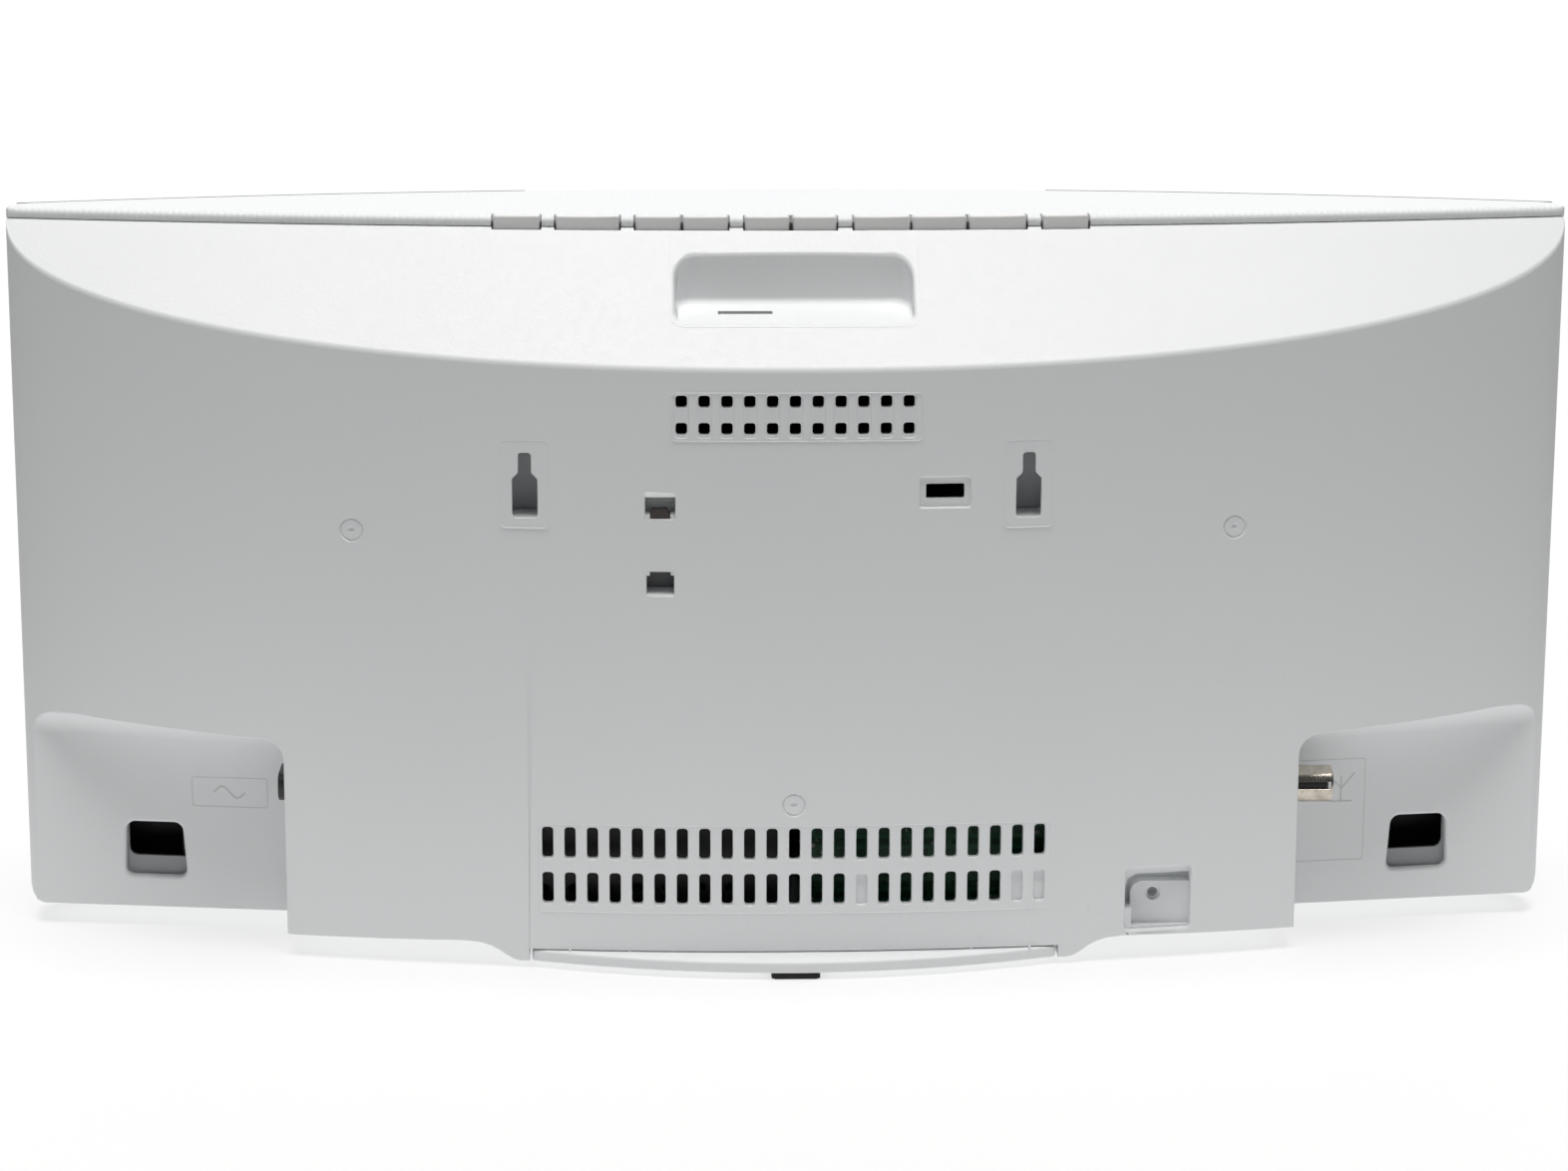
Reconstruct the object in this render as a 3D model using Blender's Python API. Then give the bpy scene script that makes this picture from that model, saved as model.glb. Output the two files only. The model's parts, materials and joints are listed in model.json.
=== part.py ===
"""Slim wall-mountable clock radio with a disc player, as separate solids.

Metres, +Z up. The front with the sliding door faces -Y and the rear faces +Y.
The origin is the bottom centre of the whole object. The plan is a lens: a shallow arc
in front and a fuller curve behind, which a 45 degree slope joins to the top panel.
"""

import math

import bmesh
import bpy
import numpy as np
from mathutils import Matrix, Vector

MM = 0.001
GAP = 0.3 * MM
WALL = 2.4 * MM

# Cabinet, seen from above
HALF_WIDTH = 200 * MM
LIP_END_Y = -6.5 * MM
LIP_SAGITTA = 20.77 * MM
BULGE = 31.1 * MM
BULGE_POWER = 2.2
EDGE_BULGE = 0.8 * MM
FRONT_RADIUS = 677.4 * MM
FRONT_AXIS_Y = 632.2 * MM
FRONT_WALL = 5 * MM
SEAM_Y = -10 * MM

# Cabinet, heights
BODY_BOTTOM = 5.6 * MM
OVER_FOOT = 5.0 * MM
SLOPE_TOP = 185.2 * MM
PANEL_BOTTOM = 185.4 * MM
TOP = 188 * MM

# Recesses at the lower rear corners, where the two cables plug in
WING_WALL_X = 129.5 * MM
WING_OUTER_X = 198.5 * MM
WING_TOP = 58.3 * MM
WING_FLOOR_Y = 9.6 * MM
WING_FLOOR_SLOPE = 0.123
PORT = (159.0 * MM, 174.4 * MM, 16.0 * MM, 30.4 * MM)
INLET_CENTRE = (20 * MM, 43.4 * MM)
JACK_CENTRE = (20 * MM, 41.4 * MM)

# Finger recess in the slope
HANDLE = (-29.5 * MM, 30 * MM)
HANDLE_BACK_Y = 19.8 * MM
HANDLE_FLOOR = 167.2 * MM
HANDLE_FLOOR_SLOPE = 0.18

# Openings in the rear wall
UPPER_VENT_X = 0.4 * MM
UPPER_VENT_PITCH = 5.62 * MM
UPPER_VENT_ROWS = (146.2 * MM, 139.4 * MM)
LOWER_VENT_X = 0.2 * MM
LOWER_VENT_PITCH = 5.66 * MM
LOWER_VENT_ROWS = (33.05 * MM, 21.2 * MM)
BLIND_VENTS = (14, 21, 22)
KEYHOLES_X = (67.3 * MM, -57.8 * MM)
GATE_MARKS = ((110.8 * MM, 112.4 * MM), (-110.6 * MM, 112.4 * MM), (0.4 * MM, 43.4 * MM))
STRAP_RECESS = (-101.5 * MM, -84.5 * MM, 7.9 * MM, 24.5 * MM)
STRAP_FLOOR_Y = 34 * MM
STRAP_SCREW = (-92 * MM, 16.6 * MM)

# Keys along the rear edge of the top panel, from the one at +X to the one at -X
KEYS_X = (
    (63.6, 75.6), (43.6, 59.8), (28.2, 39.8), (16.3, 27.8), (0.9, 12.3),
    (-11.0, 0.2), (-29.6, -15.2), (-43.8, -29.9), (-59.0, -44.3), (-74.9, -63.0),
)
KEY_GROUPS_X = ((63.6, 75.6), (43.6, 59.8), (16.3, 39.8), (-11.0, 12.3), (-59.0, -15.2), (-74.9, -63.0))
KEY_BOTTOM = 183.7 * MM
KEY_TOP = 188.3 * MM
KEY_DEPTH = 4.5 * MM
KEY_BOARD_Z = 174 * MM

# Front: speakers, disc well, sliding door and display
SPEAKER_ANGLE = 0.192
SPEAKER_Z = 108 * MM
WELL_Z = 109 * MM
WELL_RADIUS = 62 * MM
WELL_FLOOR_Y = -30 * MM
DOOR_HALF_ANGLE = 66 * MM / FRONT_RADIUS
DOOR_TRAVEL = 128 * MM / FRONT_RADIUS
DOOR_Z = (39.6 * MM, 175.3 * MM)
DOOR_INSIDE = FRONT_RADIUS + 0.5 * MM
DOOR_OUTSIDE = FRONT_RADIUS + 2.7 * MM
PINION_ANGLE = 64 * MM / FRONT_RADIUS
PINION_RADIUS = 9 * MM
MOTOR_GEAR_RADIUS = 4 * MM
SLED_Y = -21 * MM

# Foot
FOOT_HALF_WIDTH = 66.7 * MM
FOOT_REACH = 53.5 * MM
FOOT_BOTTOM = 1.6 * MM
FOOT_TOP = 4.7 * MM
PAD_HALF = 6.15 * MM
PADS = {
    "rubber_pad_rear": (0, 46.75 * MM),
    "rubber_pad_front_left": (48 * MM, -38 * MM),
    "rubber_pad_front_right": (-48 * MM, -38 * MM),
}

MATERIALS = {
    "cabinet_white": ((0.86, 0.86, 0.85, 1), 0.45, 0),
    "key_white": ((0.83, 0.83, 0.82, 1), 0.40, 0),
    "grille_cloth": ((0.10, 0.10, 0.11, 1), 0.90, 0),
    "door_gloss": ((0.90, 0.90, 0.90, 1), 0.15, 0),
    "dark_plastic": ((0.03, 0.03, 0.03, 1), 0.45, 0),
    "grey_plastic": ((0.35, 0.36, 0.37, 1), 0.50, 0),
    "window_smoke": ((0.02, 0.02, 0.025, 1), 0.08, 0),
    "board_green": ((0.02, 0.10, 0.05, 1), 0.45, 0),
    "steel_zinc": ((0.55, 0.56, 0.58, 1), 0.35, 1),
    "nickel": ((0.72, 0.70, 0.66, 1), 0.20, 1),
    "ferrite": ((0.05, 0.05, 0.055, 1), 0.60, 0),
    "cone_paper": ((0.06, 0.06, 0.06, 1), 0.85, 0),
    "rubber_black": ((0.02, 0.02, 0.02, 1), 0.85, 0),
    "coil_tape": ((0.75, 0.55, 0.08, 1), 0.45, 0),
}


def lip_y(x):
    """Rear edge of the top panel."""
    return LIP_END_Y + LIP_SAGITTA * (1 - (x / HALF_WIDTH) ** 2)


def bulge(x):
    """How far the rear wall stands behind the lip."""
    full = BULGE * max(0, 1 - abs(x / HALF_WIDTH) ** BULGE_POWER) ** (1 / BULGE_POWER)
    return max(full, EDGE_BULGE)


def rear_y(x):
    return lip_y(x) + bulge(x)


def front_y(x):
    return FRONT_AXIS_Y - math.sqrt(FRONT_RADIUS ** 2 - x ** 2)


def inner_rear_y(x):
    """The rear wall's inside face: its outside curve moved in along its normal."""
    angle = np.linspace(-math.pi / 2, math.pi / 2, 401)
    xs = HALF_WIDTH * np.sin(angle)
    ys = np.array([rear_y(v) for v in xs])
    dx, dy = np.gradient(xs), np.gradient(ys)
    length = np.hypot(dx, dy)
    return float(np.interp(x, xs + WALL * dy / length, ys - WALL * dx / length))


def stations(half, count):
    """Stations along X that crowd together toward the two ends."""
    return [half * math.sin(math.pi * (i / count - 0.5)) for i in range(count + 1)]


def on_arc(radius, angle, z):
    """A point at this radius from the front arc's axis."""
    return (radius * math.sin(angle), FRONT_AXIS_Y - radius * math.cos(angle), z)


def rounded(x0, x1, z0, z1, radius, steps=2):
    """Outline of a rectangle with rounded corners."""
    points = []
    for cx, cz, start in ((x1, z1, 0), (x0, z1, 90), (x0, z0, 180), (x1, z0, 270)):
        cx += radius if cx == x0 else -radius
        cz += radius if cz == z0 else -radius
        for i in range(steps + 1):
            turn = math.radians(start + 90 * i / steps)
            points.append((cx + radius * math.cos(turn), cz + radius * math.sin(turn)))
    return points


def circle(cx, cz, radius, steps=20):
    turns = [2 * math.pi * i / steps for i in range(steps)]
    return [(cx + radius * math.cos(t), cz + radius * math.sin(t)) for t in turns]


def finished(shape):
    """Welds a bmesh, turns its faces outward and returns it as a mesh."""
    bmesh.ops.remove_doubles(shape, verts=shape.verts, dist=2e-6)
    bmesh.ops.recalc_face_normals(shape, faces=shape.faces)
    mesh = bpy.data.meshes.new("shape")
    shape.to_mesh(mesh)
    shape.free()
    return mesh


def box(x0, x1, y0, y1, z0, z1):
    shape = bmesh.new()
    bmesh.ops.create_cube(shape, size=1)
    centre = Vector(((x0 + x1) / 2, (y0 + y1) / 2, (z0 + z1) / 2))
    size = Matrix.Diagonal((x1 - x0, y1 - y0, z1 - z0, 1))
    bmesh.ops.transform(shape, matrix=Matrix.Translation(centre) @ size, verts=shape.verts)
    return finished(shape)


def rod(start, end, radius, steps=18):
    """A cylinder from one point to another."""
    start, end = Vector(start), Vector(end)
    shape = bmesh.new()
    depth = (end - start).length
    bmesh.ops.create_cone(shape, cap_ends=True, segments=steps, radius1=radius, radius2=radius, depth=depth)
    turn = (end - start).to_track_quat("Z", "Y").to_matrix().to_4x4()
    bmesh.ops.transform(shape, matrix=Matrix.Translation((start + end) / 2) @ turn, verts=shape.verts)
    return finished(shape)


def plate(outlines, low, high, axis="Z"):
    """Extrudes a 2D curve along an axis. Outlines after the first are holes."""
    curve = bpy.data.curves.new("outline", "CURVE")
    curve.dimensions = "2D"
    curve.fill_mode = "BOTH"
    curve.extrude = (high - low) / 2
    for outline in outlines:
        spline = curve.splines.new("POLY")
        spline.points.add(len(outline) - 1)
        for point, (u, v) in zip(spline.points, outline):
            point.co = (u, v, 0, 1)
        spline.use_cyclic_u = True
    holder = bpy.data.objects.new("outline", curve)
    shape = bmesh.new()
    shape.from_mesh(bpy.data.meshes.new_from_object(holder))
    bpy.data.objects.remove(holder)
    middle = (low + high) / 2
    for vert in shape.verts:
        u, v, w = vert.co
        w += middle
        vert.co = {"X": (w, u, v), "Y": (u, w, v), "Z": (u, v, w)}[axis]
    return finished(shape)


def loft(rings):
    """Joins rings of equally many points into a closed solid."""
    shape = bmesh.new()
    rows = [[shape.verts.new(point) for point in ring] for ring in rings]
    for low, high in zip(rows, rows[1:]):
        for i in range(len(low)):
            j = (i + 1) % len(low)
            shape.faces.new((low[i], low[j], high[j], high[i]))
    shape.faces.new(rows[0][::-1])
    shape.faces.new(rows[-1])
    return finished(shape)


def arc_sweep(profile, start, end, steps):
    """Sweeps a (radius, z) profile round the front arc's axis."""
    angles = [start + (end - start) * i / steps for i in range(steps + 1)]
    return loft([[on_arc(r, angle, z) for r, z in profile] for angle in angles])


def arc_block(start, end, inside, outside, z0, z1, steps=8):
    return arc_sweep([(inside, z0), (outside, z0), (outside, z1), (inside, z1)], start, end, steps)


def turned(profile, steps=20):
    """Revolves a (radius, y) profile round the Y axis."""
    rings = []
    for i in range(steps):
        turn = 2 * math.pi * i / steps
        rings.append([(r * math.cos(turn), y, r * math.sin(turn)) for r, y in profile])
    shape = bmesh.new()
    rows = [[shape.verts.new(point) for point in ring] for ring in rings]
    for i in range(steps):
        low, high = rows[i], rows[(i + 1) % steps]
        for j in range(len(profile)):
            k = (j + 1) % len(profile)
            shape.faces.new((low[j], low[k], high[k], high[j]))
    return finished(shape)


def moved(mesh, x=0, y=0, z=0, about_z=0):
    mesh.transform(Matrix.Translation((x, y, z)) @ Matrix.Rotation(about_z, 4, "Z"))
    return mesh


def joined(meshes):
    """Several separate shapes in one mesh."""
    shape = bmesh.new()
    for mesh in meshes:
        shape.from_mesh(mesh)
        bpy.data.meshes.remove(mesh)
    mesh = bpy.data.meshes.new("joined")
    shape.to_mesh(mesh)
    shape.free()
    return mesh


def node(name, mesh, slot):
    """A visible sub-part."""
    obj = bpy.data.objects.new(name, mesh)
    mesh.name = name
    mesh.materials.clear()
    mesh.materials.append(materials[slot])
    mesh.shade_flat()
    parts.objects.link(obj)
    return obj


def cutter(name, mesh):
    """A helper solid for a Boolean, never rendered."""
    obj = bpy.data.objects.new(name, mesh)
    obj.hide_render = True
    obj.display_type = "WIRE"
    cutters.objects.link(obj)
    return obj


def boolean(obj, name, mesh, operation="DIFFERENCE"):
    modifier = obj.modifiers.new(name, "BOOLEAN")
    modifier.operation = operation
    modifier.solver = "EXACT"
    modifier.object = cutter(f"{obj.name}_{name}", mesh)
    return modifier.object


def pivot(obj, location):
    """Moves an object's origin onto its joint axis, leaving its shape in place."""
    obj.data.transform(Matrix.Translation(-Vector(location)))
    obj.location = location


def wing_outline(grow):
    """(x, z) outline of the recess on the +X side, open at the bottom."""
    wall, top, outer = WING_WALL_X - grow, WING_TOP + grow, WING_OUTER_X + 2 * grow
    corner = rounded(wall, outer, 0, top, 5 * MM + grow, 3)
    return [(x, z) for x, z in corner if z > 10 * MM] + [(wall, -5 * MM), (outer, -5 * MM)]


def wing_prism(side, grow):
    """The recess as a solid that runs from its slanting floor out past the rear wall."""
    outline = wing_outline(grow)
    floor = [(side * x, WING_FLOOR_Y - WING_FLOOR_SLOPE * (x - WING_WALL_X) - grow, z) for x, z in outline]
    return loft([floor, [(x, 80 * MM, z) for x, y, z in floor]])


def keyhole_outline(centre):
    wide, narrow = 3.15 * MM, 1.62 * MM
    heights = (116.6, 126.4, 127.9, 132.0, 133.0)
    low, shoulder, neck, top_side, top = (z * MM for z in heights)
    right = [(wide - 1 * MM, low), (wide, low + 1 * MM), (wide, shoulder), (narrow, neck)]
    right += [(narrow, top_side), (narrow - 0.8 * MM, top)]
    return [(centre + x, z) for x, z in right] + [(centre - x, z) for x, z in reversed(right)]


def handle_prism(grow):
    """The finger recess: upright back wall, floor falling outward."""
    back, floor = HANDLE_BACK_Y - grow, HANDLE_FLOOR - grow
    out_y = 60 * MM
    section = [(back, 195 * MM), (back, floor), (out_y, floor - HANDLE_FLOOR_SLOPE * (out_y - back))]
    section.append((out_y, 195 * MM))
    return plate([section], HANDLE[0] - grow, HANDLE[1] + grow, "X")


def make_rear_cover():
    xs = stations(HALF_WIDTH, 34)
    front = [(HALF_WIDTH, SEAM_Y), (-HALF_WIDTH, SEAM_Y)]
    plan = [(x, rear_y(x)) for x in xs] + front
    foot = [(x, y, 0.5 * MM) for x, y in plan]
    crease = [(x, y, SLOPE_TOP - bulge(x)) for x, y in plan]
    crest = [(x, lip_y(x), SLOPE_TOP) for x in xs] + [(x, y, SLOPE_TOP) for x, y in front]
    cover = node("rear_cover", loft([foot, crease, crest]), "cabinet_white")

    skirt = [(80, 6.4), (78, 5.6), (76, 3.4), (73.5, 2.1), (67.3, 2.1), (67.3, 5.0)]
    corner = [(210, 9.4), (200, 9.4), (199.2, 7.4), (197.8, 6.1), (195.6, 5.6)]
    right = [(210, -5)] + corner + [(129.5, 5.6)] + skirt
    under = [(x * MM, z * MM) for x, z in right] + [(-x * MM, z * MM) for x, z in reversed(right)]
    boolean(cover, "underside", plate([under], -30 * MM, 70 * MM, "Y"))
    boolean(cover, "skirt_end", box(-90 * MM, 90 * MM, -30 * MM, 18 * MM, -5 * MM, OVER_FOOT))
    boolean(cover, "wings", joined([wing_prism(1, 0), wing_prism(-1, 0)]))
    boolean(cover, "cavity", cavity_mesh())
    strap = box(*STRAP_RECESS[:2], STRAP_FLOOR_Y, 60 * MM, *STRAP_RECESS[2:])
    boolean(cover, "finger_recess", joined([handle_prism(0), strap]))
    boolean(cover, "openings", rear_openings())
    boolean(cover, "pockets", pocket_cutters())
    boolean(cover, "key_notches", key_notches())
    boolean(cover, "posts", board_posts(), "UNION")
    return cover


def cavity_mesh():
    """The cover's hollow: the inner shell less the walls round each recess."""
    xs = stations(HALF_WIDTH - WALL - 0.05 * MM, 34)
    top = 192 * MM
    drop = WALL * math.sqrt(2)
    front = [(xs[-1], -30 * MM), (xs[0], -30 * MM)]
    plan = [(x, inner_rear_y(x)) for x in xs]
    low = [(x, y, BODY_BOTTOM + WALL) for x, y in plan + front]
    crease = [(x, y, SLOPE_TOP - drop - (y - lip_y(x))) for x, y in plan]
    crease += [(x, y, SLOPE_TOP - drop) for x, y in front]
    crest = [(x, lip_y(x) - (top - SLOPE_TOP + drop), top) for x in xs] + [(x, y, top) for x, y in front]
    hollow = cutter("hollow", loft([low, crease, crest]))
    boolean(hollow, "wing_walls", joined([wing_prism(1, WALL), wing_prism(-1, WALL)]))
    x0, x1, z0, z1 = STRAP_RECESS
    strap = box(x0 - WALL, x1 + WALL, STRAP_FLOOR_Y - WALL, 60 * MM, -5 * MM, z1 + WALL)
    pockets = [handle_prism(2.2 * MM), strap]
    for x in KEYHOLES_X:
        inside = inner_rear_y(x)
        pockets.append(box(x - 6 * MM, x + 6 * MM, inside - 8 * MM, 60 * MM, 113.5 * MM, 136.5 * MM))
    boolean(hollow, "pocket_walls", joined(pockets))
    bpy.context.view_layer.update()
    graph = bpy.context.evaluated_depsgraph_get()
    mesh = bpy.data.meshes.new_from_object(hollow.evaluated_get(graph))
    for modifier in hollow.modifiers:
        bpy.data.objects.remove(modifier.object)
    bpy.data.objects.remove(hollow)
    return mesh


def rear_openings():
    """Vents, keyholes, slots and sockets, as cutters that don't touch each other."""
    shapes = []
    deep, past = 5 * MM, 4 * MM
    for row in UPPER_VENT_ROWS:
        for i in range(11):
            x = UPPER_VENT_X + (5 - i) * UPPER_VENT_PITCH
            y = rear_y(x)
            low, high = row - 1.5 * MM, row + 1.5 * MM
            shapes.append(box(x - 1.4 * MM, x + 1.4 * MM, y - deep, y + past, low, high))
    for row, z in enumerate(LOWER_VENT_ROWS):
        for i in range(23):
            x = LOWER_VENT_X + (11 - i) * LOWER_VENT_PITCH
            y = rear_y(x)
            depth = 0.8 * MM if row == 1 and i in BLIND_VENTS else deep
            shapes.append(box(x - 1.45 * MM, x + 1.45 * MM, y - depth, y + past, z - 4.2 * MM, z + 4.2 * MM))
    for x in KEYHOLES_X:
        y = rear_y(x)
        shapes.append(plate([keyhole_outline(x)], y - 4 * MM, y + past, "Y"))
    for x, z in GATE_MARKS:
        y = rear_y(x)
        shapes.append(plate([circle(x, z, 2.95 * MM, 16)], y - 0.6 * MM, y + past, "Y"))
    y = rear_y(36.9 * MM)
    shapes.append(plate([rounded(-43.4 * MM, -30.4 * MM, 119.2 * MM, 127.2 * MM, 0.8 * MM, 1)],
                        y - 0.9 * MM, y + past, "Y"))
    for x0, x1, z0, z1 in ((30.1, 37.4, 116.4, 123.1), (30.5, 37.1, 96.6, 103.2)):
        shapes.append(box(x0 * MM, x1 * MM, y - deep, y + past, z0 * MM, z1 * MM))
    x, z = STRAP_SCREW
    shapes.append(plate([circle(x, z, 1.3 * MM, 12)], STRAP_FLOOR_Y - 4 * MM, STRAP_FLOOR_Y + 1 * MM, "Y"))
    shapes.append(box(5.6 * MM, 19.2 * MM, 27.2 * MM, 28.3 * MM, 158 * MM, 172 * MM))
    for side in (1, -1):
        x0, x1, z0, z1 = PORT
        x0, x1 = sorted((side * x0, side * x1))
        shapes.append(plate([rounded(x0, x1, z0, z1, 2.5 * MM, 2)], -6 * MM, 14 * MM, "Y"))
    y, z = INLET_CENTRE
    inlet = rounded(y - 7.6 * MM, y + 7.6 * MM, z - 4.0 * MM, z + 4.0 * MM, 3.2 * MM, 3)
    shapes.append(plate([inlet], WING_WALL_X - 6 * MM, WING_WALL_X + 1 * MM, "X"))
    y, z = JACK_CENTRE
    shapes.append(plate([circle(y, z, 4.2 * MM, 20)], -WING_WALL_X - 1 * MM, -WING_WALL_X + 6 * MM, "X"))
    for x in (40 * MM, -40 * MM):
        shapes.append(rod((x, 22 * MM, 2 * MM), (x, 22 * MM, 12 * MM), 1.8 * MM, steps=12))
    return joined(shapes)


def pocket_cutters():
    """Room for a screw's head behind each keyhole, and the hole inside the shallow slot."""
    shapes = []
    for x in KEYHOLES_X:
        inside = inner_rear_y(x)
        pocket = rounded(x - 4.3 * MM, x + 4.3 * MM, 115.2 * MM, 134.8 * MM, 1 * MM, 1)
        shapes.append(plate([pocket], inside - 6.4 * MM, inside, "Y"))
    y = rear_y(36.9 * MM)
    hole = rounded(-41.9 * MM, -31.9 * MM, 121.5 * MM, 125.4 * MM, 0.8 * MM, 1)
    shapes.append(plate([hole], y - 5 * MM, y + 2 * MM, "Y"))
    return joined(shapes)


def key_notches():
    shapes = []
    for x0, x1 in KEY_GROUPS_X:
        x0, x1 = (x0 - 0.3) * MM, (x1 + 0.3) * MM
        middle = lip_y((x0 + x1) / 2)
        back = [(x0, lip_y(x0) + 0.6 * MM), ((x0 + x1) / 2, middle + 0.6 * MM), (x1, lip_y(x1) + 0.6 * MM)]
        front = [(x1, lip_y(x1) - 12 * MM), (x0, lip_y(x0) - 12 * MM)]
        shapes.append(plate([back + front], 182.9 * MM, 190 * MM))
    return joined(shapes)


def board_posts():
    """Posts on the inside of the rear wall that carry the two circuit boards."""
    shapes = []
    for x, z, y in ((-88, 46, 31.9), (-88, 92, 31.9), (-8, 52, 31.9), (-8, 92, 31.9),
                    (12, 66, 24.0), (90, 24, 24.0), (12, 94, 24.0), (90, 94, 24.0)):
        end = inner_rear_y(x * MM) + 1.2 * MM
        shapes.append(rod((x * MM, y * MM, z * MM), (x * MM, end, z * MM), 3 * MM, steps=12))
    return joined(shapes)


def make_front():
    half = HALF_WIDTH
    inset = 4 * MM
    xs = [-half + inset + (2 * half - 2 * inset) * i / 26 for i in range(27)]
    arc = [(x, front_y(x)) for x in xs]
    corner_y = front_y(half) + 3.2 * MM
    plan = [(-half, SEAM_Y - GAP), (-half, corner_y), (-half + 1.2 * MM, corner_y - 2.6 * MM)] + arc
    plan += [(half - 1.2 * MM, corner_y - 2.6 * MM), (half, corner_y), (half, SEAM_Y - GAP)]
    front = node("front_cabinet", plate([plan], OVER_FOOT, SLOPE_TOP - 0.1 * MM), "cabinet_white")

    inner = half - WALL
    radius = FRONT_RADIUS - FRONT_WALL
    limit = math.asin((inner - 0.1 * MM) / radius)
    hollow_arc = [on_arc(radius, -limit + 2 * limit * i / 26, 0)[:2] for i in range(27)]
    hollow = [(-inner, 5 * MM)] + hollow_arc + [(inner, 5 * MM)]
    space = cutter("space", plate([hollow], BODY_BOTTOM + WALL, 195 * MM))
    cup = rod((0, -80 * MM, WELL_Z), (0, WELL_FLOOR_Y + WALL, WELL_Z), WELL_RADIUS + WALL, steps=40)
    boolean(space, "cup", cup)
    bpy.context.view_layer.update()
    graph = bpy.context.evaluated_depsgraph_get()
    mesh = bpy.data.meshes.new_from_object(space.evaluated_get(graph))
    for modifier in space.modifiers:
        bpy.data.objects.remove(modifier.object)
    bpy.data.objects.remove(space)
    boolean(front, "cavity", mesh)
    corner = [(206, 0), (206, 9.4), (200, 9.4), (199.2, 7.4), (197.8, 6.1), (195.6, 5.0), (195.6, 0)]
    ends = [plate([[(side * x * MM, z * MM) for x, z in corner]], -80 * MM, 0, "Y") for side in (1, -1)]
    boolean(front, "lower_corners", joined(ends))
    boolean(front, "well", rod((0, -80 * MM, WELL_Z), (0, WELL_FLOOR_Y, WELL_Z), WELL_RADIUS, steps=40))

    recess = []
    inside, outside = FRONT_RADIUS - 2.5 * MM, FRONT_RADIUS + 5 * MM
    for side in (1, -1):
        angles = sorted((side * 78 * MM / FRONT_RADIUS, side * 190 * MM / FRONT_RADIUS))
        recess.append(arc_block(*angles, inside, outside, 12 * MM, 179 * MM))
    window = 50 * MM / FRONT_RADIUS
    recess.append(arc_block(-window, window, inside, outside, 13 * MM, 36 * MM))
    boolean(front, "panel_recesses", joined(recess))

    holes = [plate([hub_and_slot()], WELL_FLOOR_Y - 2 * MM, WELL_FLOOR_Y + 4 * MM, "Y")]
    holes.append(box(-46 * MM, 46 * MM, -50 * MM, -30 * MM, 16.5 * MM, 32.5 * MM))
    holes.append(box(53 * MM, 75 * MM, -50 * MM, -25 * MM, 39.4 * MM, 45.4 * MM))
    for side in (1, -1):
        angle = side * SPEAKER_ANGLE
        inside = on_arc(FRONT_RADIUS - 12 * MM, angle, SPEAKER_Z)
        outside = on_arc(FRONT_RADIUS + 5 * MM, angle, SPEAKER_Z)
        holes.append(rod(inside, outside, 35 * MM, steps=28))
    boolean(front, "holes", joined(holes))

    posts = []
    for x, z in ((-80, 82), (-80, 136), (28, 82), (28, 136)):
        near = front_y(x * MM) + 4 * MM if abs(x) > 66 else WELL_FLOOR_Y + 1.6 * MM
        posts.append(rod((x * MM, near, z * MM), (x * MM, -12.5 * MM, z * MM), 3 * MM, steps=12))
    for x, z in ((-54, 10), (-54, 38.5), (46, 10), (46, 38.5)):
        near = front_y(x * MM) + 4 * MM
        posts.append(rod((x * MM, near, z * MM), (x * MM, -35.0 * MM, z * MM), 1.8 * MM, steps=10))
    boolean(front, "posts", joined(posts), "UNION")
    return front


def hub_and_slot():
    """Outline of the turntable's hole run together with the pickup's slot."""
    radius, half, end = 17 * MM, 7 * MM, -60.6 * MM
    start = math.pi - math.asin(half / radius)
    turns = [start - 2 * start * i / 24 for i in range(25)]
    arc = [(radius * math.cos(t), WELL_Z + radius * math.sin(t)) for t in turns]
    slot = [(3 * MM, -7 * MM), (0, -4 * MM), (0, 4 * MM), (3 * MM, 7 * MM)]
    return arc + [(end + u, WELL_Z + v) for u, v in slot]


def make_front_panels():
    for name, side in (("grille_left", 1), ("grille_right", -1)):
        edge = GAP / FRONT_RADIUS
        near, far = 78 * MM / FRONT_RADIUS + edge, 190 * MM / FRONT_RADIUS - edge
        angles = sorted((side * near, side * far))
        inside, outside = FRONT_RADIUS - 2.2 * MM, FRONT_RADIUS - 0.2 * MM
        node(name, arc_block(*angles, inside, outside, 12 * MM + GAP, 179 * MM - GAP, 10), "grille_cloth")
    limit = (50 * MM - GAP) / FRONT_RADIUS
    inside, outside = FRONT_RADIUS - 2.2 * MM, FRONT_RADIUS - 0.2 * MM
    window = arc_block(-limit, limit, inside, outside, 13 * MM + GAP, 36 * MM - GAP, 8)
    node("display_window", window, "window_smoke")
    node("display_panel", box(-44 * MM, 44 * MM, -38.0 * MM, -35.2 * MM, 15 * MM, 34 * MM), "grey_plastic")
    board = [rounded(-58 * MM, 49 * MM, 8.8 * MM, 41.5 * MM, 1.5 * MM, 2)]
    node("display_board", plate(board, -34.7 * MM, -33.1 * MM, "Y"), "board_green")


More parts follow.
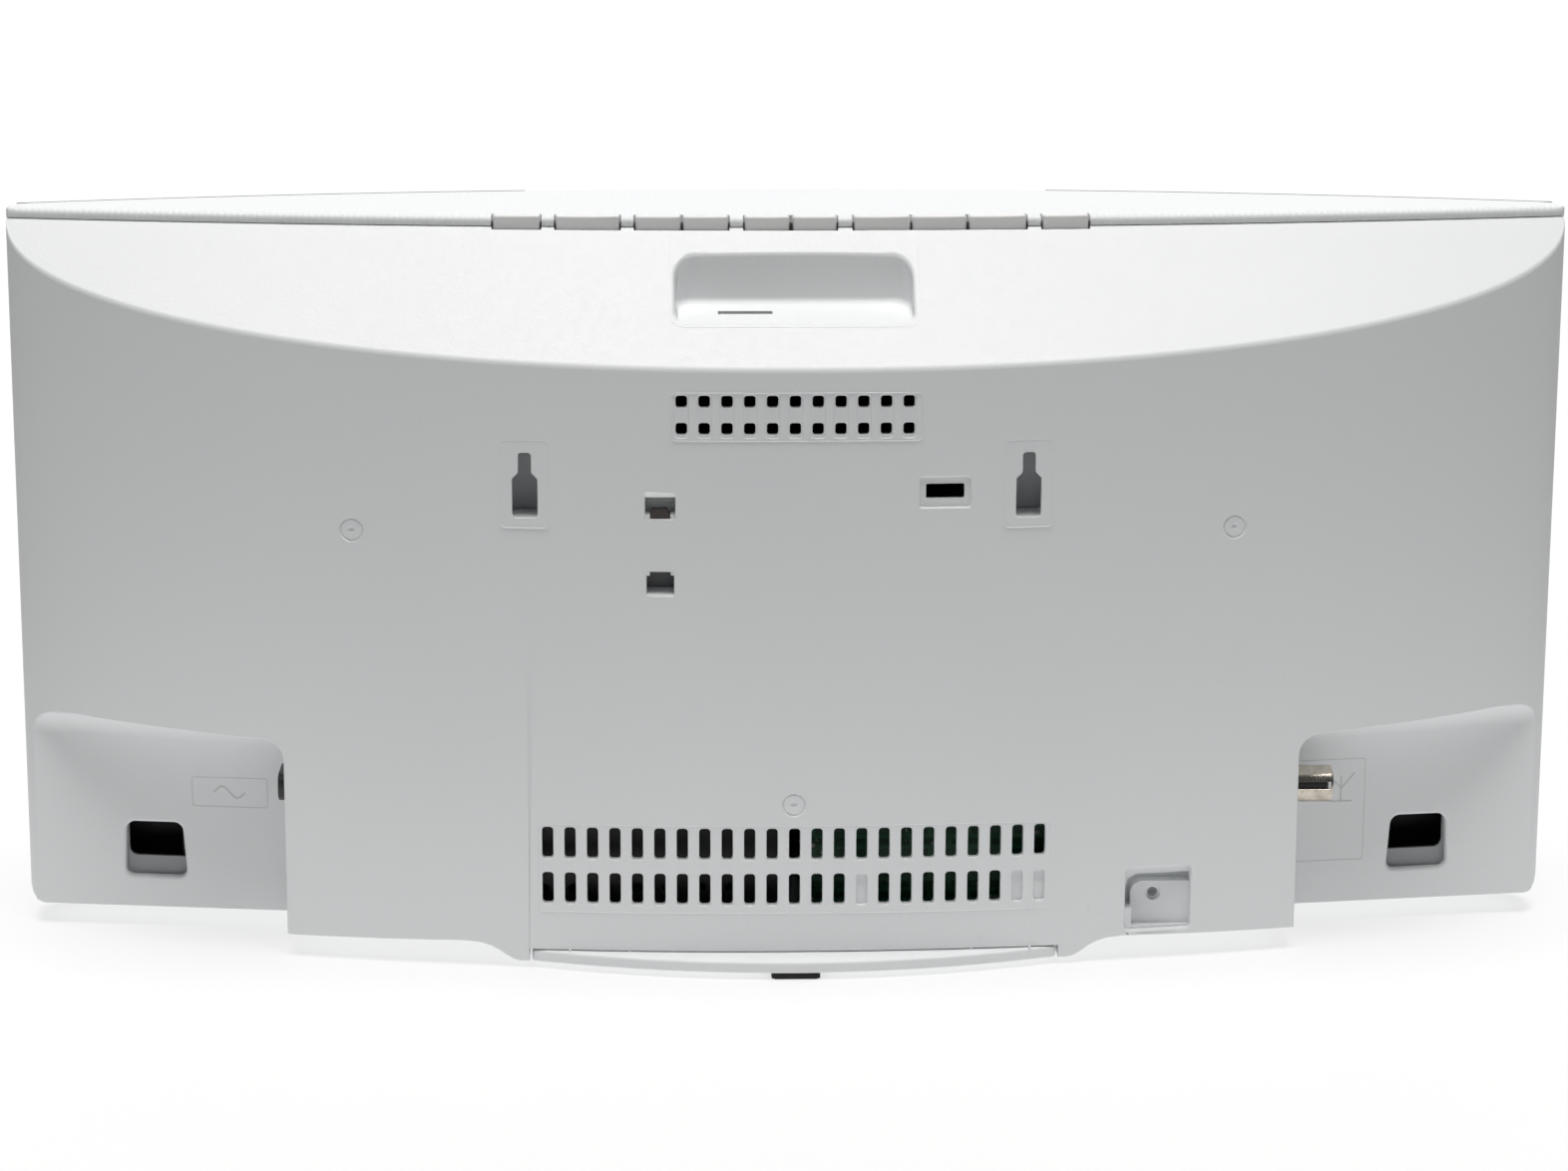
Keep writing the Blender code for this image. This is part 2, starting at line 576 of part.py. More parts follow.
def make_door():
    door = arc_block(-DOOR_HALF_ANGLE, DOOR_HALF_ANGLE, DOOR_INSIDE, DOOR_OUTSIDE, *DOOR_Z, 16)
    pivot(node("sliding_door", door, "door_gloss"), (0, FRONT_AXIS_Y, 107 * MM))
    start, end = -68.5 * MM / FRONT_RADIUS, 196.5 * MM / FRONT_RADIUS
    inner, leg, outer = (FRONT_RADIUS + r * MM for r in (0.3, 3.1, 4.2))
    low = [(inner, 37.2 * MM), (outer, 37.2 * MM), (outer, 47 * MM), (leg, 47 * MM)]
    low += [(leg, 39.2 * MM), (inner, 39.2 * MM)]
    high = [(r, 214.9 * MM - z) for r, z in low]
    node("door_rail_bottom", arc_sweep(low, start, end, 16), "cabinet_white")
    node("door_rail_top", arc_sweep(high, start, end, 16), "cabinet_white")

    x, y, z = on_arc(FRONT_RADIUS - 8.8 * MM, PINION_ANGLE, 40.2 * MM)
    pinion = plate([gear_outline(PINION_RADIUS, 18), circle(0, 0, 1.1 * MM, 8)], 0, 4 * MM)
    pivot(node("door_pinion", moved(pinion, x, y, z), "grey_plastic"), (x, y, z))
    y += PINION_RADIUS + MOTOR_GEAR_RADIUS + 0.2 * MM
    gear = plate([gear_outline(MOTOR_GEAR_RADIUS, 8), circle(0, 0, 1.2 * MM, 8)], 0, 3.6 * MM)
    pivot(node("door_motor_gear", moved(gear, x, y, z), "grey_plastic"), (x, y, z))
    motor = node("door_motor", rod((x, y, 19 * MM), (x, y, 39.6 * MM), 8 * MM, steps=24), "steel_zinc")
    shafts = [rod((x, y, 39 * MM), (x, y, 44.4 * MM), 0.9 * MM, steps=10)]
    boolean(motor, "shaft", joined(shafts), "UNION")


def gear_outline(radius, teeth):
    """Blunt teeth between 0.55 mm inside and outside the working radius."""
    points = []
    for i in range(teeth):
        for part, offset in ((-0.30, -0.45), (-0.12, 0), (0.12, 0), (0.30, -0.45)):
            turn = 2 * math.pi * (i + part) / teeth
            reach = radius - 0.55 * MM + (0.45 * MM + offset * MM)
            points.append((reach * math.cos(turn), reach * math.sin(turn)))
    return points


def make_speakers():
    for word, side in (("left", 1), ("right", -1)):
        angle = side * SPEAKER_ANGLE
        x, y, z = on_arc(FRONT_RADIUS - FRONT_WALL - 1.6 * MM, angle, SPEAKER_Z)
        basket = turned([
            (34.5 * MM, 0), (39 * MM, 0), (39 * MM, 1.4 * MM), (33 * MM, 2.4 * MM),
            (19 * MM, 19 * MM), (13 * MM, 19 * MM), (17.4 * MM, 16.6 * MM), (31.4 * MM, 1.4 * MM),
        ])
        cone = turned([
            (33.9 * MM, 0.2 * MM), (33.9 * MM, -0.6 * MM), (31.5 * MM, -1.6 * MM), (29 * MM, -0.6 * MM),
            (11 * MM, 11 * MM), (0.6 * MM, 7.4 * MM), (0.6 * MM, 8.4 * MM), (11.4 * MM, 13.4 * MM),
            (29.6 * MM, 0.8 * MM), (31.5 * MM, -0.5 * MM),
        ])
        magnet = turned([
            (4 * MM, 19.3 * MM), (24 * MM, 19.3 * MM), (27 * MM, 22 * MM), (27 * MM, 32 * MM),
            (24 * MM, 35 * MM), (4 * MM, 35 * MM),
        ])
        for name, mesh, slot in (("basket", basket, "steel_zinc"), ("cone", cone, "cone_paper"),
                                 ("magnet", magnet, "ferrite")):
            node(f"speaker_{word}_{name}", moved(mesh, x, y, z, angle), slot)


def make_ducts():
    """Reflex ducts: in through the wing's floor, then up beside the speaker."""
    for word, side in (("left", 1), ("right", -1)):
        x0, x1, z0, z1 = PORT
        mouth = WING_FLOOR_Y - WING_FLOOR_SLOPE * (x1 + WALL - WING_WALL_X) - WALL - GAP
        back, turn_z, end_z = -16.6 * MM, z1 + 2 * MM, 62 * MM
        outer = [(mouth, z0 - 2 * MM), (back, z0 - 2 * MM), (back, end_z), (back + 15 * MM, end_z)]
        outer += [(back + 15 * MM, turn_z), (mouth, turn_z)]
        inner = [(mouth + 5 * MM, z0), (back + 2 * MM, z0), (back + 2 * MM, end_z + 5 * MM)]
        inner += [(back + 13 * MM, end_z + 5 * MM), (back + 13 * MM, z1), (mouth + 5 * MM, z1)]
        low, high = sorted((side * (x0 - 2 * MM), side * (x1 + 2 * MM)))
        duct = node(f"reflex_duct_{word}", plate([outer], low, high, "X"), "dark_plastic")
        low, high = sorted((side * x0, side * x1))
        boolean(duct, "bore", plate([inner], low, high, "X"))


def make_top():
    xs = stations(HALF_WIDTH, 30)
    rear = [(x, lip_y(x)) for x in xs]
    arc = [(x, front_y(x)) for x in reversed(xs[1:-1]) if abs(x) < HALF_WIDTH - 4 * MM]
    end = front_y(HALF_WIDTH)
    right = [(HALF_WIDTH, end + 3.2 * MM), (HALF_WIDTH - 1.2 * MM, end + 0.6 * MM)]
    left = [(-x, y) for x, y in reversed(right)]
    top = node("top_panel", plate([rear + right + arc + left], PANEL_BOTTOM, TOP), "cabinet_white")
    shapes = []
    for x0, x1 in KEY_GROUPS_X:
        x0, x1 = (x0 - 0.3) * MM, (x1 + 0.3) * MM
        deep = KEY_DEPTH + 0.1 * MM
        back = [(x0, lip_y(x0) + 3 * MM), (x1, lip_y(x1) + 3 * MM)]
        front = [(x, lip_y(x) - deep) for x in (x1, (x0 + x1) / 2, x0)]
        shapes.append(plate([back + front], 180 * MM, 195 * MM))
    boolean(top, "key_notches", joined(shapes))
    posts = [rod((x * MM, 1.5 * MM, KEY_BOARD_Z + 1.9 * MM), (x * MM, 1.5 * MM, 186 * MM), 2 * MM, steps=10)
             for x in (-78, -26, 26, 78)]
    boolean(top, "posts", joined(posts), "UNION")


def make_keys():
    shapes = []
    for i, (x0, x1) in enumerate(KEYS_X, 1):
        x0, x1 = x0 * MM, x1 * MM
        middle = (x0 + x1) / 2
        xs = (x0, middle, x1)
        rear = [(x, lip_y(x) + 0.25 * MM) for x in xs]
        front = [(x, lip_y(x) + 0.25 * MM - KEY_DEPTH) for x in reversed(xs)]
        key = node(f"key_{i:02d}", plate([rear + front], KEY_BOTTOM, KEY_TOP), "key_white")
        y = lip_y(middle) - 3 * MM
        stem = box(middle - 1.5 * MM, middle + 1.5 * MM, y - 1.1 * MM, y + 1.0 * MM, 177.7 * MM, 184.4 * MM)
        boolean(key, "stem", stem, "UNION")
        low, high = KEY_BOARD_Z + 1.2 * MM, KEY_BOARD_Z + 3.1 * MM
        shapes.append(box(middle - 2.4 * MM, middle + 2.4 * MM, y - 2.4 * MM, y + 2.4 * MM, low, high))
    xs = [-84 + 12 * i for i in range(15)]
    outline = [(x * MM, lip_y(x * MM) + 1.2 * MM) for x in xs] + [(84 * MM, -2 * MM), (-84 * MM, -2 * MM)]
    board = node("key_board", plate([outline], KEY_BOARD_Z, KEY_BOARD_Z + 1.6 * MM), "board_green")
    boolean(board, "switches", joined(shapes), "UNION")


def make_disc_drive():
    z, y = WELL_Z, SLED_Y
    hub = turned([
        (0.9 * MM, -27.2 * MM), (4 * MM, -27.2 * MM), (4 * MM, -29.6 * MM), (15 * MM, -29.6 * MM),
        (15 * MM, -31.4 * MM), (7.4 * MM, -31.4 * MM), (7.2 * MM, -32.8 * MM), (5 * MM, -34.6 * MM),
        (0.9 * MM, -34.6 * MM),
    ])
    pivot(node("turntable", moved(hub, 0, 0, z), "dark_plastic"), (0, -31 * MM, z))
    motor = node("spindle_motor", rod((0, -26.8 * MM, z), (0, -12.6 * MM, z), 11.5 * MM), "steel_zinc")
    boolean(motor, "shaft", rod((0, -34 * MM, z), (0, -26 * MM, z), 0.6 * MM, steps=10), "UNION")

    x = -24 * MM
    block = box(x - 11 * MM, x + 10 * MM, -26.6 * MM, -15.6 * MM, z - 18 * MM, z + 18 * MM)
    sled = node("pickup_sled", block, "dark_plastic")
    lens = rod((x, -29.4 * MM, z), (x, -26 * MM, z), 5.6 * MM, steps=20)
    boolean(sled, "lens_head", lens, "UNION")
    levels = (z + 14 * MM, z - 14 * MM)
    rods = [rod((-60 * MM, y, level), (0, y, level), 1.8 * MM, steps=12) for level in levels]
    boolean(sled, "rod_bores", joined(rods))
    arm = box(x - 3 * MM, x + 3 * MM, y + 2.6 * MM, y + 4.6 * MM, z - 26 * MM, z - 17 * MM)
    boolean(sled, "screw_follower", arm, "UNION")
    for name, side in (("guide_rod_upper", 1), ("guide_rod_lower", -1)):
        level = z + side * 14 * MM
        node(name, rod((-73.7 * MM, y, level), (-9.4 * MM, y, level), 1.5 * MM, steps=12), "nickel")

    level = z - 24 * MM
    screw = node("lead_screw", rod((-72 * MM, y, level), (-4.2 * MM, y, level), 2 * MM, steps=12), "nickel")
    pivot(screw, (-38 * MM, y, level))
    node("sled_motor", rod((-3.8 * MM, y, level), (16 * MM, y, level), 6.2 * MM), "steel_zinc")

    outline = rounded(-84 * MM, 34 * MM, z - 34 * MM, z + 32 * MM, 3 * MM, 2)
    window = rounded(-70 * MM, -16 * MM, z - 10 * MM, z + 10 * MM, 2 * MM, 2)
    chassis = node("disc_chassis", plate([outline, window], -12.2 * MM, -10.7 * MM, "Y"), "dark_plastic")
    cheeks = [box(-77 * MM, -74 * MM, -25 * MM, -11 * MM, z - 28 * MM, z + 18 * MM)]
    for side in (1, -1):
        low, high = sorted((z + side * 12.6 * MM, z + side * 17 * MM))
        cheeks.append(box(-9.1 * MM, -6.6 * MM, -24 * MM, -11 * MM, low, high))
    cheeks.append(box(2 * MM, 12 * MM, y + 6.6 * MM, -11 * MM, level - 5 * MM, level + 5 * MM))
    boolean(chassis, "cheeks", joined(cheeks), "UNION")


def make_boards():
    holes = [circle(x * MM, z * MM, 1.6 * MM, 10) for x, z in ((-88, 46), (-88, 92), (-8, 52), (-8, 92))]
    corners = ((-76, 12), (-2, 12), (-2, 98), (-95, 98), (-95, 30), (-76, 30))
    outline = [(x * MM, z * MM) for x, z in corners]
    main = node("main_board", plate([outline] + holes, 30 * MM, 31.6 * MM, "Y"), "board_green")
    chips = [box(-62 * MM, -40 * MM, 27.6 * MM, 30.4 * MM, 56 * MM, 78 * MM),
             box(-30 * MM, -14 * MM, 24 * MM, 30.4 * MM, 60 * MM, 84 * MM),
             box(-72 * MM, -64 * MM, 22 * MM, 30.4 * MM, 40 * MM, 56 * MM)]
    boolean(main, "components", joined(chips), "UNION")

    holes = [circle(x * MM, z * MM, 1.6 * MM, 10) for x, z in ((12, 66), (90, 24), (12, 94), (90, 94))]
    outline = rounded(5 * MM, 96 * MM, 12 * MM, 100 * MM, 1.5 * MM, 1)
    node("power_board", plate([outline] + holes, 22 * MM, 23.6 * MM, "Y"), "board_green")
    node("transformer", box(50 * MM, 78 * MM, 0 * MM, 21.7 * MM, 58 * MM, 84 * MM), "coil_tape")
    can = rod((28 * MM, -2 * MM, 76 * MM), (28 * MM, 21.7 * MM, 76 * MM), 9 * MM)
    node("mains_capacitor", can, "dark_plastic")

    shield = node("heat_sink", box(4 * MM, 68 * MM, 32 * MM, 33.2 * MM, 13 * MM, 56 * MM), "steel_zinc")
    holes = [rod((x * MM, 30 * MM, z * MM), (x * MM, 35 * MM, z * MM), 1.7 * MM, steps=8)
             for x in range(8, 65, 8) for z in (18, 52)]
    boolean(shield, "holes", joined(holes))
    boolean(shield, "tabs", joined([box(6 * MM, 14 * MM, 23.9 * MM, 32.4 * MM, 38 * MM, 40 * MM),
                                    box(56 * MM, 64 * MM, 23.9 * MM, 32.4 * MM, 38 * MM, 40 * MM)]), "UNION")


def make_sockets():
    y, z = INLET_CENTRE
    wall = WING_WALL_X
    flange = rounded(y - 7.9 * MM, y + 7.9 * MM, z - 5.4 * MM, z + 5.4 * MM, 3 * MM, 2)
    barrel = rounded(y - 7.3 * MM, y + 7.3 * MM, z - 3.7 * MM, z + 3.7 * MM, 3.0 * MM, 3)
    inlet = node("mains_inlet", plate([barrel], wall - 18 * MM, wall + 1.9 * MM, "X"), "dark_plastic")
    boolean(inlet, "flange", plate([flange], wall - WALL - 2.3 * MM, wall - WALL - GAP, "X"), "UNION")
    mouth = rounded(y - 6.1 * MM, y + 6.1 * MM, z - 2.5 * MM, z + 2.5 * MM, 2.2 * MM, 3)
    boolean(inlet, "mouth", plate([mouth], wall - 12 * MM, wall + 4 * MM, "X"))
    pins = [rod((wall - 14 * MM, y + off, z), (wall - 1 * MM, y + off, z), 1.1 * MM, steps=12)
            for off in (3.3 * MM, -3.3 * MM)]
    boolean(inlet, "pins", joined(pins), "UNION")

    y, z = JACK_CENTRE
    rings = [rod((-wall + 14 * MM, y, z), (-wall + WALL + GAP, y, z), 6.5 * MM),
             rod((-wall + WALL + 1 * MM, y, z), (-wall - 1.5 * MM, y, z), 3.9 * MM)]
    jack = node("antenna_jack", rings[0], "nickel")
    boolean(jack, "neck", rings[1], "UNION")
    boolean(jack, "sleeve", rod((-wall - 0.3 * MM, y, z), (-wall - 10 * MM, y, z), 4.75 * MM), "UNION")
    boolean(jack, "bore", rod((-wall - 0.8 * MM, y, z), (-wall - 12 * MM, y, z), 4.05 * MM))
    boolean(jack, "pin", rod((-wall - 0.2 * MM, y, z), (-wall - 8 * MM, y, z), 1.15 * MM, steps=12), "UNION")


def make_foot():
    steps = 20
    half = FOOT_HALF_WIDTH
    side_y = rear_y(half) - 0.4 * MM
    xs = [-half + 2 * half * i / steps for i in range(steps + 1)]
    rear = [(x, FOOT_REACH - (FOOT_REACH - side_y) * (x / half) ** 2) for x in xs]
    front = [(x, -FOOT_REACH + 14 * MM * (x / half) ** 2) for x in reversed(xs)]
    foot = node("foot", plate([rear + front], FOOT_BOTTOM, FOOT_TOP), "cabinet_white")
    sides = (40 * MM, -40 * MM)
    bores = [rod((x, 22 * MM, -2 * MM), (x, 22 * MM, 3.3 * MM), 3.4 * MM, steps=16) for x in sides]
    boolean(foot, "counterbores", joined(bores))
    bores = [rod((x, 22 * MM, 1 * MM), (x, 22 * MM, 9 * MM), 1.8 * MM, steps=12) for x in sides]
    boolean(foot, "screw_holes", joined(bores))
    for name, (x, y) in PADS.items():
        outline = rounded(x - PAD_HALF, x + PAD_HALF, y - PAD_HALF, y + PAD_HALF, 0.8 * MM, 1)
        node(name, plate([outline], 0, FOOT_BOTTOM - 0.1 * MM), "rubber_black")
    for word, side in (("left", 1), ("right", -1)):
        x, y = side * 40 * MM, 22 * MM
        head = rod((x, y, 1.8 * MM), (x, y, 3.2 * MM), 2.9 * MM, steps=16)
        screw = node(f"foot_screw_{word}", head, "steel_zinc")
        boolean(screw, "shank", rod((x, y, 3 * MM), (x, y, 11 * MM), 1.4 * MM, steps=12), "UNION")
        boolean(screw, "drive", box(x - 1.6 * MM, x + 1.6 * MM, y - 0.35 * MM, y + 0.35 * MM, 0, 2.4 * MM))


for old in list(bpy.data.objects):
    bpy.data.objects.remove(old)
parts = bpy.data.collections.new("clock_radio")
cutters = bpy.data.collections.new("cutters")
bpy.context.scene.collection.children.link(parts)
bpy.context.scene.collection.children.link(cutters)
materials = {}
for slot, (colour, roughness, metallic) in MATERIALS.items():
    material = bpy.data.materials.new(slot)
    material.use_nodes = True
    shader = material.node_tree.nodes["Principled BSDF"]
    shader.inputs["Base Color"].default_value = colour
    shader.inputs["Roughness"].default_value = roughness
    shader.inputs["Metallic"].default_value = metallic
    materials[slot] = material

make_rear_cover()
make_front()
make_front_panels()
make_door()
make_speakers()
make_ducts()
make_top()
make_keys()
make_disc_drive()
make_boards()
make_sockets()
make_foot()
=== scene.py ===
"""Looks of a slim wall-mountable clock radio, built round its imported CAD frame.

Lengths inside the helpers are in millimetres, in the frame's own axes: +X is the side with the
mains inlet, +Y the rear, +Z up. Meshes are scaled to metres as they are made.
"""

import math

import bmesh
import bpy
import numpy as np
from mathutils import Matrix, Vector
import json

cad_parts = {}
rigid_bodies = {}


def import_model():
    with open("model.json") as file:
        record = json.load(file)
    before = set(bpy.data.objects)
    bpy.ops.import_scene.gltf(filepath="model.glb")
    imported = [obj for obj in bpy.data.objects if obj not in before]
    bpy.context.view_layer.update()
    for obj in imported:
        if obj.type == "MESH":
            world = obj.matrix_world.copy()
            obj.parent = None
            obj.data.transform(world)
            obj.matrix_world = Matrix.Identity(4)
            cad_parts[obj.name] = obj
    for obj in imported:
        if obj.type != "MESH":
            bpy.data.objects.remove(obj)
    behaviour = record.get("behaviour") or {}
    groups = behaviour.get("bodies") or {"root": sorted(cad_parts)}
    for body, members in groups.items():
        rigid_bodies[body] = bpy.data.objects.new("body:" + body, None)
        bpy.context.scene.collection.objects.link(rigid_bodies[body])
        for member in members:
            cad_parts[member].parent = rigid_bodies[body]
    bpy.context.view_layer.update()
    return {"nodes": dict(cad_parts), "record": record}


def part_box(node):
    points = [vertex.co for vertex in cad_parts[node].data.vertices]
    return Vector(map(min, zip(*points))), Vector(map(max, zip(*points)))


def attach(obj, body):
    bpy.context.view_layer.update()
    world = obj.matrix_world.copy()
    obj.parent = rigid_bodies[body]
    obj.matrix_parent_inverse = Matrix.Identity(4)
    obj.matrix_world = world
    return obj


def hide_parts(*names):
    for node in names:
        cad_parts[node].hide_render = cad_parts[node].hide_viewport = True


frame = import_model()
scene = bpy.context.scene
for old in [o for o in scene.objects if o.type in ("LIGHT", "CAMERA") or o.name == "Cube"]:
    bpy.data.objects.remove(old)

MM = 0.001
SUN = 3.3
SUN_SIZE = 40
SUN_LEAN = 5
WORLD = 0.07
BACKDROP = 0.9
FLOOR_GLOW = (0.62, 0.06)
HALF = 200
SEAM_Y = -10
SLOPE_TOP = 185.2
CREASE_RADIUS = 2.6
LIP_END_Y = -6.5
LIP_BOW = 20.77
BULGE = 31.1
BULGE_POWER = 2.2
LEAST_BULGE = 0.8
BOTTOM = 5.6
WALL = 2.4
FRONT_RADIUS = 677.4
FRONT_AXIS_Y = 632.2

WING_WALL_X = 129.5
WING_FLOOR_Y = 9.6
WING_FLOOR_SLOPE = 0.135
WING_FILLET = 7
HANDLE = (-29.5, 30)
HANDLE_BACK_Y = 19.8
HANDLE_FLOOR = 167.2
UPPER_VENTS = (0.4, 5.62, (146.2, 139.4))
LOWER_VENTS = (0.2, 5.66, (33.05, 21.2))
VENT_HALF = 1.42
BLIND_VENTS = (14, 21, 22)
KEYHOLES_X = (67.3, -57.8)
POCKET_DEPTH = 9.4
GATE_MARKS = ((110.8, 112.4), (-110.6, 112.4), (0.4, 43.4))
STRAP = (-101.5, -84.5, 7.9, 24.5)
STRAP_SCREW = (-92.2, 16.4)
INLET = (20, 43.4)
JACK = (20, 41.4)
JACK_TIP_X = 139.7
FOOT_SCREW = (40, 22)
KEY_GAP = 0.3
KEY_GROUPS_X = ((63.6, 75.6), (43.6, 59.8), (16.3, 39.8), (-11.0, 12.3), (-59.0, -15.2), (-74.9, -63.0))

# Faint brown scuffs on the rear shell: centre, radius, squeeze along each axis, strength.
SCUFFS = (
    ((-117, 33, 73), 9, (0.8, 1, 1), 0.42),
    ((-121, 32, 66), 6, (1, 1, 1), 0.3),
    ((163, 22, 75), 5, (1, 1, 1.4), 0.16),
    ((150, 9, 50), 16, (1, 1, 1), 0.10),
    ((-176, 6, 22), 6, (1, 1, 1), 0.3),
    ((-140, 20, 8), 8, (1, 1, 1), 0.14),
    ((-60, 43, 14), 60, (1, 1, 3), 0.08),
)


# ---------------------------------------------------------------- surfaces

def lip_y(x):
    """Rear edge of the top panel."""
    return LIP_END_Y + LIP_BOW * (1 - (x / HALF) ** 2)


def bulge(x):
    """How far the rear wall stands behind the lip."""
    return max(BULGE * max(0, 1 - abs(x / HALF) ** BULGE_POWER) ** (1 / BULGE_POWER), LEAST_BULGE)


def rear_y(x, z=0):
    return lip_y(x) + bulge(x)


def slope_y(x, z):
    return lip_y(x) + SLOPE_TOP - z


def crease(x):
    """Radius of the round between the rear wall and the slope, and how far it eats into each."""
    radius = min(CREASE_RADIUS, 0.8 * bulge(x))
    return radius, radius * math.tan(math.pi / 8)


def front_y(x):
    return FRONT_AXIS_Y - math.sqrt(FRONT_RADIUS ** 2 - x ** 2)


def wing_y(x, z=0):
    """Floor of the recess at each lower corner."""
    return WING_FLOOR_Y - WING_FLOOR_SLOPE * (abs(x) - WING_WALL_X)


def inner_rear_y(xs):
    """The rear wall's inside face: its outside curve moved in along its normal."""
    angle = np.linspace(-math.pi / 2, math.pi / 2, 401)
    outer = HALF * np.sin(angle)
    ys = np.array([rear_y(v) for v in outer])
    dx, dy = np.gradient(outer), np.gradient(ys)
    length = np.hypot(dx, dy)
    return np.interp(xs, outer + WALL * dy / length, ys - WALL * dx / length)


def stations(half, count):
    """Stations along X that crowd together toward the two ends."""
    return [half * math.sin(math.pi * (i / count - 0.5)) for i in range(count + 1)]


# ---------------------------------------------------------------- mesh helpers

def finished(shape, weld=0.002):
    """Welds a bmesh made in millimetres, turns its faces outward and returns it in metres."""
    bmesh.ops.remove_doubles(shape, verts=shape.verts, dist=weld)
    bmesh.ops.recalc_face_normals(shape, faces=shape.faces)
    bmesh.ops.scale(shape, vec=(MM, MM, MM), verts=shape.verts)
    mesh = bpy.data.meshes.new("shape")
    shape.to_mesh(mesh)
    shape.free()
    return mesh


def loft(rings, caps=True):
    """Joins rings of equally many points."""
    shape = bmesh.new()
    rows = [[shape.verts.new(point) for point in ring] for ring in rings]
    for low, high in zip(rows, rows[1:]):
        for i in range(len(low)):
            j = (i + 1) % len(low)
            shape.faces.new((low[i], low[j], high[j], high[i]))
    if caps:
        shape.faces.new(rows[0][::-1])
        shape.faces.new(rows[-1])
    return finished(shape)


def box(x0, x1, y0, y1, z0, z1):
    plan = [(x0, y0), (x1, y0), (x1, y1), (x0, y1)]
    return loft([[(x, y, z) for x, y in plan] for z in (z0, z1)])


def prism(outline, low, high, axis="Z"):
    """A solid of one outline between two levels of an axis."""
    order = {"X": lambda u, v, w: (w, u, v), "Y": lambda u, v, w: (u, w, v), "Z": lambda u, v, w: (u, v, w)}
    return loft([[order[axis](u, v, w) for u, v in outline] for w in (low, high)])


def rounded(x0, x1, z0, z1, radius, steps=4, grow=0):
    """Outline of a rectangle with rounded corners, grown on every side."""
    x0, x1, z0, z1, radius = x0 - grow, x1 + grow, z0 - grow, z1 + grow, max(radius + grow, 0.01)
    points = []
    for cx, cz, start in ((x1, z1, 0), (x0, z1, 90), (x0, z0, 180), (x1, z0, 270)):
        cx += radius if cx == x0 else -radius
        cz += radius if cz == z0 else -radius
        for i in range(steps + 1):
            turn = math.radians(start + 90 * i / steps)
            points.append((cx + radius * math.cos(turn), cz + radius * math.sin(turn)))
    return points


def framed(x0, x1, z0, z1, radius, steps=4):
    """The rounded rectangle as a function of how far it is grown, as opening and hole take it."""
    return lambda grow: rounded(x0, x1, z0, z1, radius, steps, grow)


def circle(cx, cz, radius, steps=28):
    turns = [2 * math.pi * i / steps for i in range(steps)]
    return [(cx + radius * math.cos(t), cz + radius * math.sin(t)) for t in turns]


def opening(outline, surface, rings, past=3):
    """Cutter that follows a surface: each ring is (grow, depth below the surface)."""
    made = [[(x, surface(x, z) - depth, z) for x, z in outline(grow)] for grow, depth in rings]
    made.append([(x, surface(x, z) + past, z) for x, z in outline(rings[-1][0])])
    return loft(made)


def hole(outline, surface, edge=0.3, depth=5, past=3):
    """A hole whose mouth is rounded over by the edge radius."""
    rings = [(0, depth), (0, edge), (0.12 * edge, 0.5 * edge), (0.45 * edge, 0.13 * edge), (edge, 0)]
    return opening(outline, surface, rings, past)


def turned(profile, centre, axis="Y", steps=40):
    """Revolves a closed (radius, along) profile round an axis through the centre."""
    shape = bmesh.new()
    rows = []
    for i in range(steps):
        turn = 2 * math.pi * i / steps
        row = []
        for r, along in profile:
            u, v = r * math.cos(turn), r * math.sin(turn)
            point = {"X": (along, u, v), "Y": (u, along, v), "Z": (u, v, along)}[axis]
            row.append(shape.verts.new(Vector(point) + Vector(centre)))
        rows.append(row)
    for i in range(steps):
        low, high = rows[i], rows[(i + 1) % steps]
        for j in range(len(profile)):
            k = (j + 1) % len(profile)
            shape.faces.new((low[j], low[k], high[k], high[j]))
    return finished(shape)


def strip(points, surface, width=0.3, height=0.12, closed=False):
    """A low ridge along an (x, z) polyline, lying on a surface."""
    count = len(points)
    rings = []
    for i in range(count):
        before = Vector(points[i - 1 if closed or i else 0])
        after = Vector(points[(i + 1) % count if closed or i < count - 1 else i])
        here = Vector(points[i])
        arriving, leaving = here - before, after - here
        first = (arriving if arriving.length > 1e-6 else leaving).normalized()
        second = leaving.normalized() if leaving.length > 1e-6 else first
        along = (first + second).normalized()
        side = Vector((-along.y, along.x))
        reach = width / 2 / max(0.5, side.dot(Vector((-first.y, first.x))))
        ring = []
        for offset, lift in ((-1, -0.15), (-0.45, height), (0.45, height), (1, -0.15)):
            x, z = here + side * reach * offset
            ring.append((x, surface(x, z) + lift, z))
        rings.append(ring)
    if closed:
        rings.append(rings[0])
    return loft(rings, caps=not closed)


def resampled(points, step=3.0, closed=False):
    """Adds points along straight runs, so that a strip can follow a curved surface."""
    out = []
    ends = points[1:] + points[:1] if closed else points[1:]
    for (x0, z0), (x1, z1) in zip(points, ends):
        count = max(1, int(math.hypot(x1 - x0, z1 - z0) / step))
        out += [(x0 + (x1 - x0) * i / count, z0 + (z1 - z0) * i / count) for i in range(count)]
    return out if closed else out + [points[-1]]


def joined(meshes):
    """Several separate shapes in one mesh."""
    shape = bmesh.new()
    for mesh in meshes:
        shape.from_mesh(mesh)
        bpy.data.meshes.remove(mesh)
    mesh = bpy.data.meshes.new("joined")
    shape.to_mesh(mesh)
    shape.free()
    return mesh


def evaluated(obj):
    bpy.context.view_layer.update()
    return bpy.data.meshes.new_from_object(obj.evaluated_get(bpy.context.evaluated_depsgraph_get()))


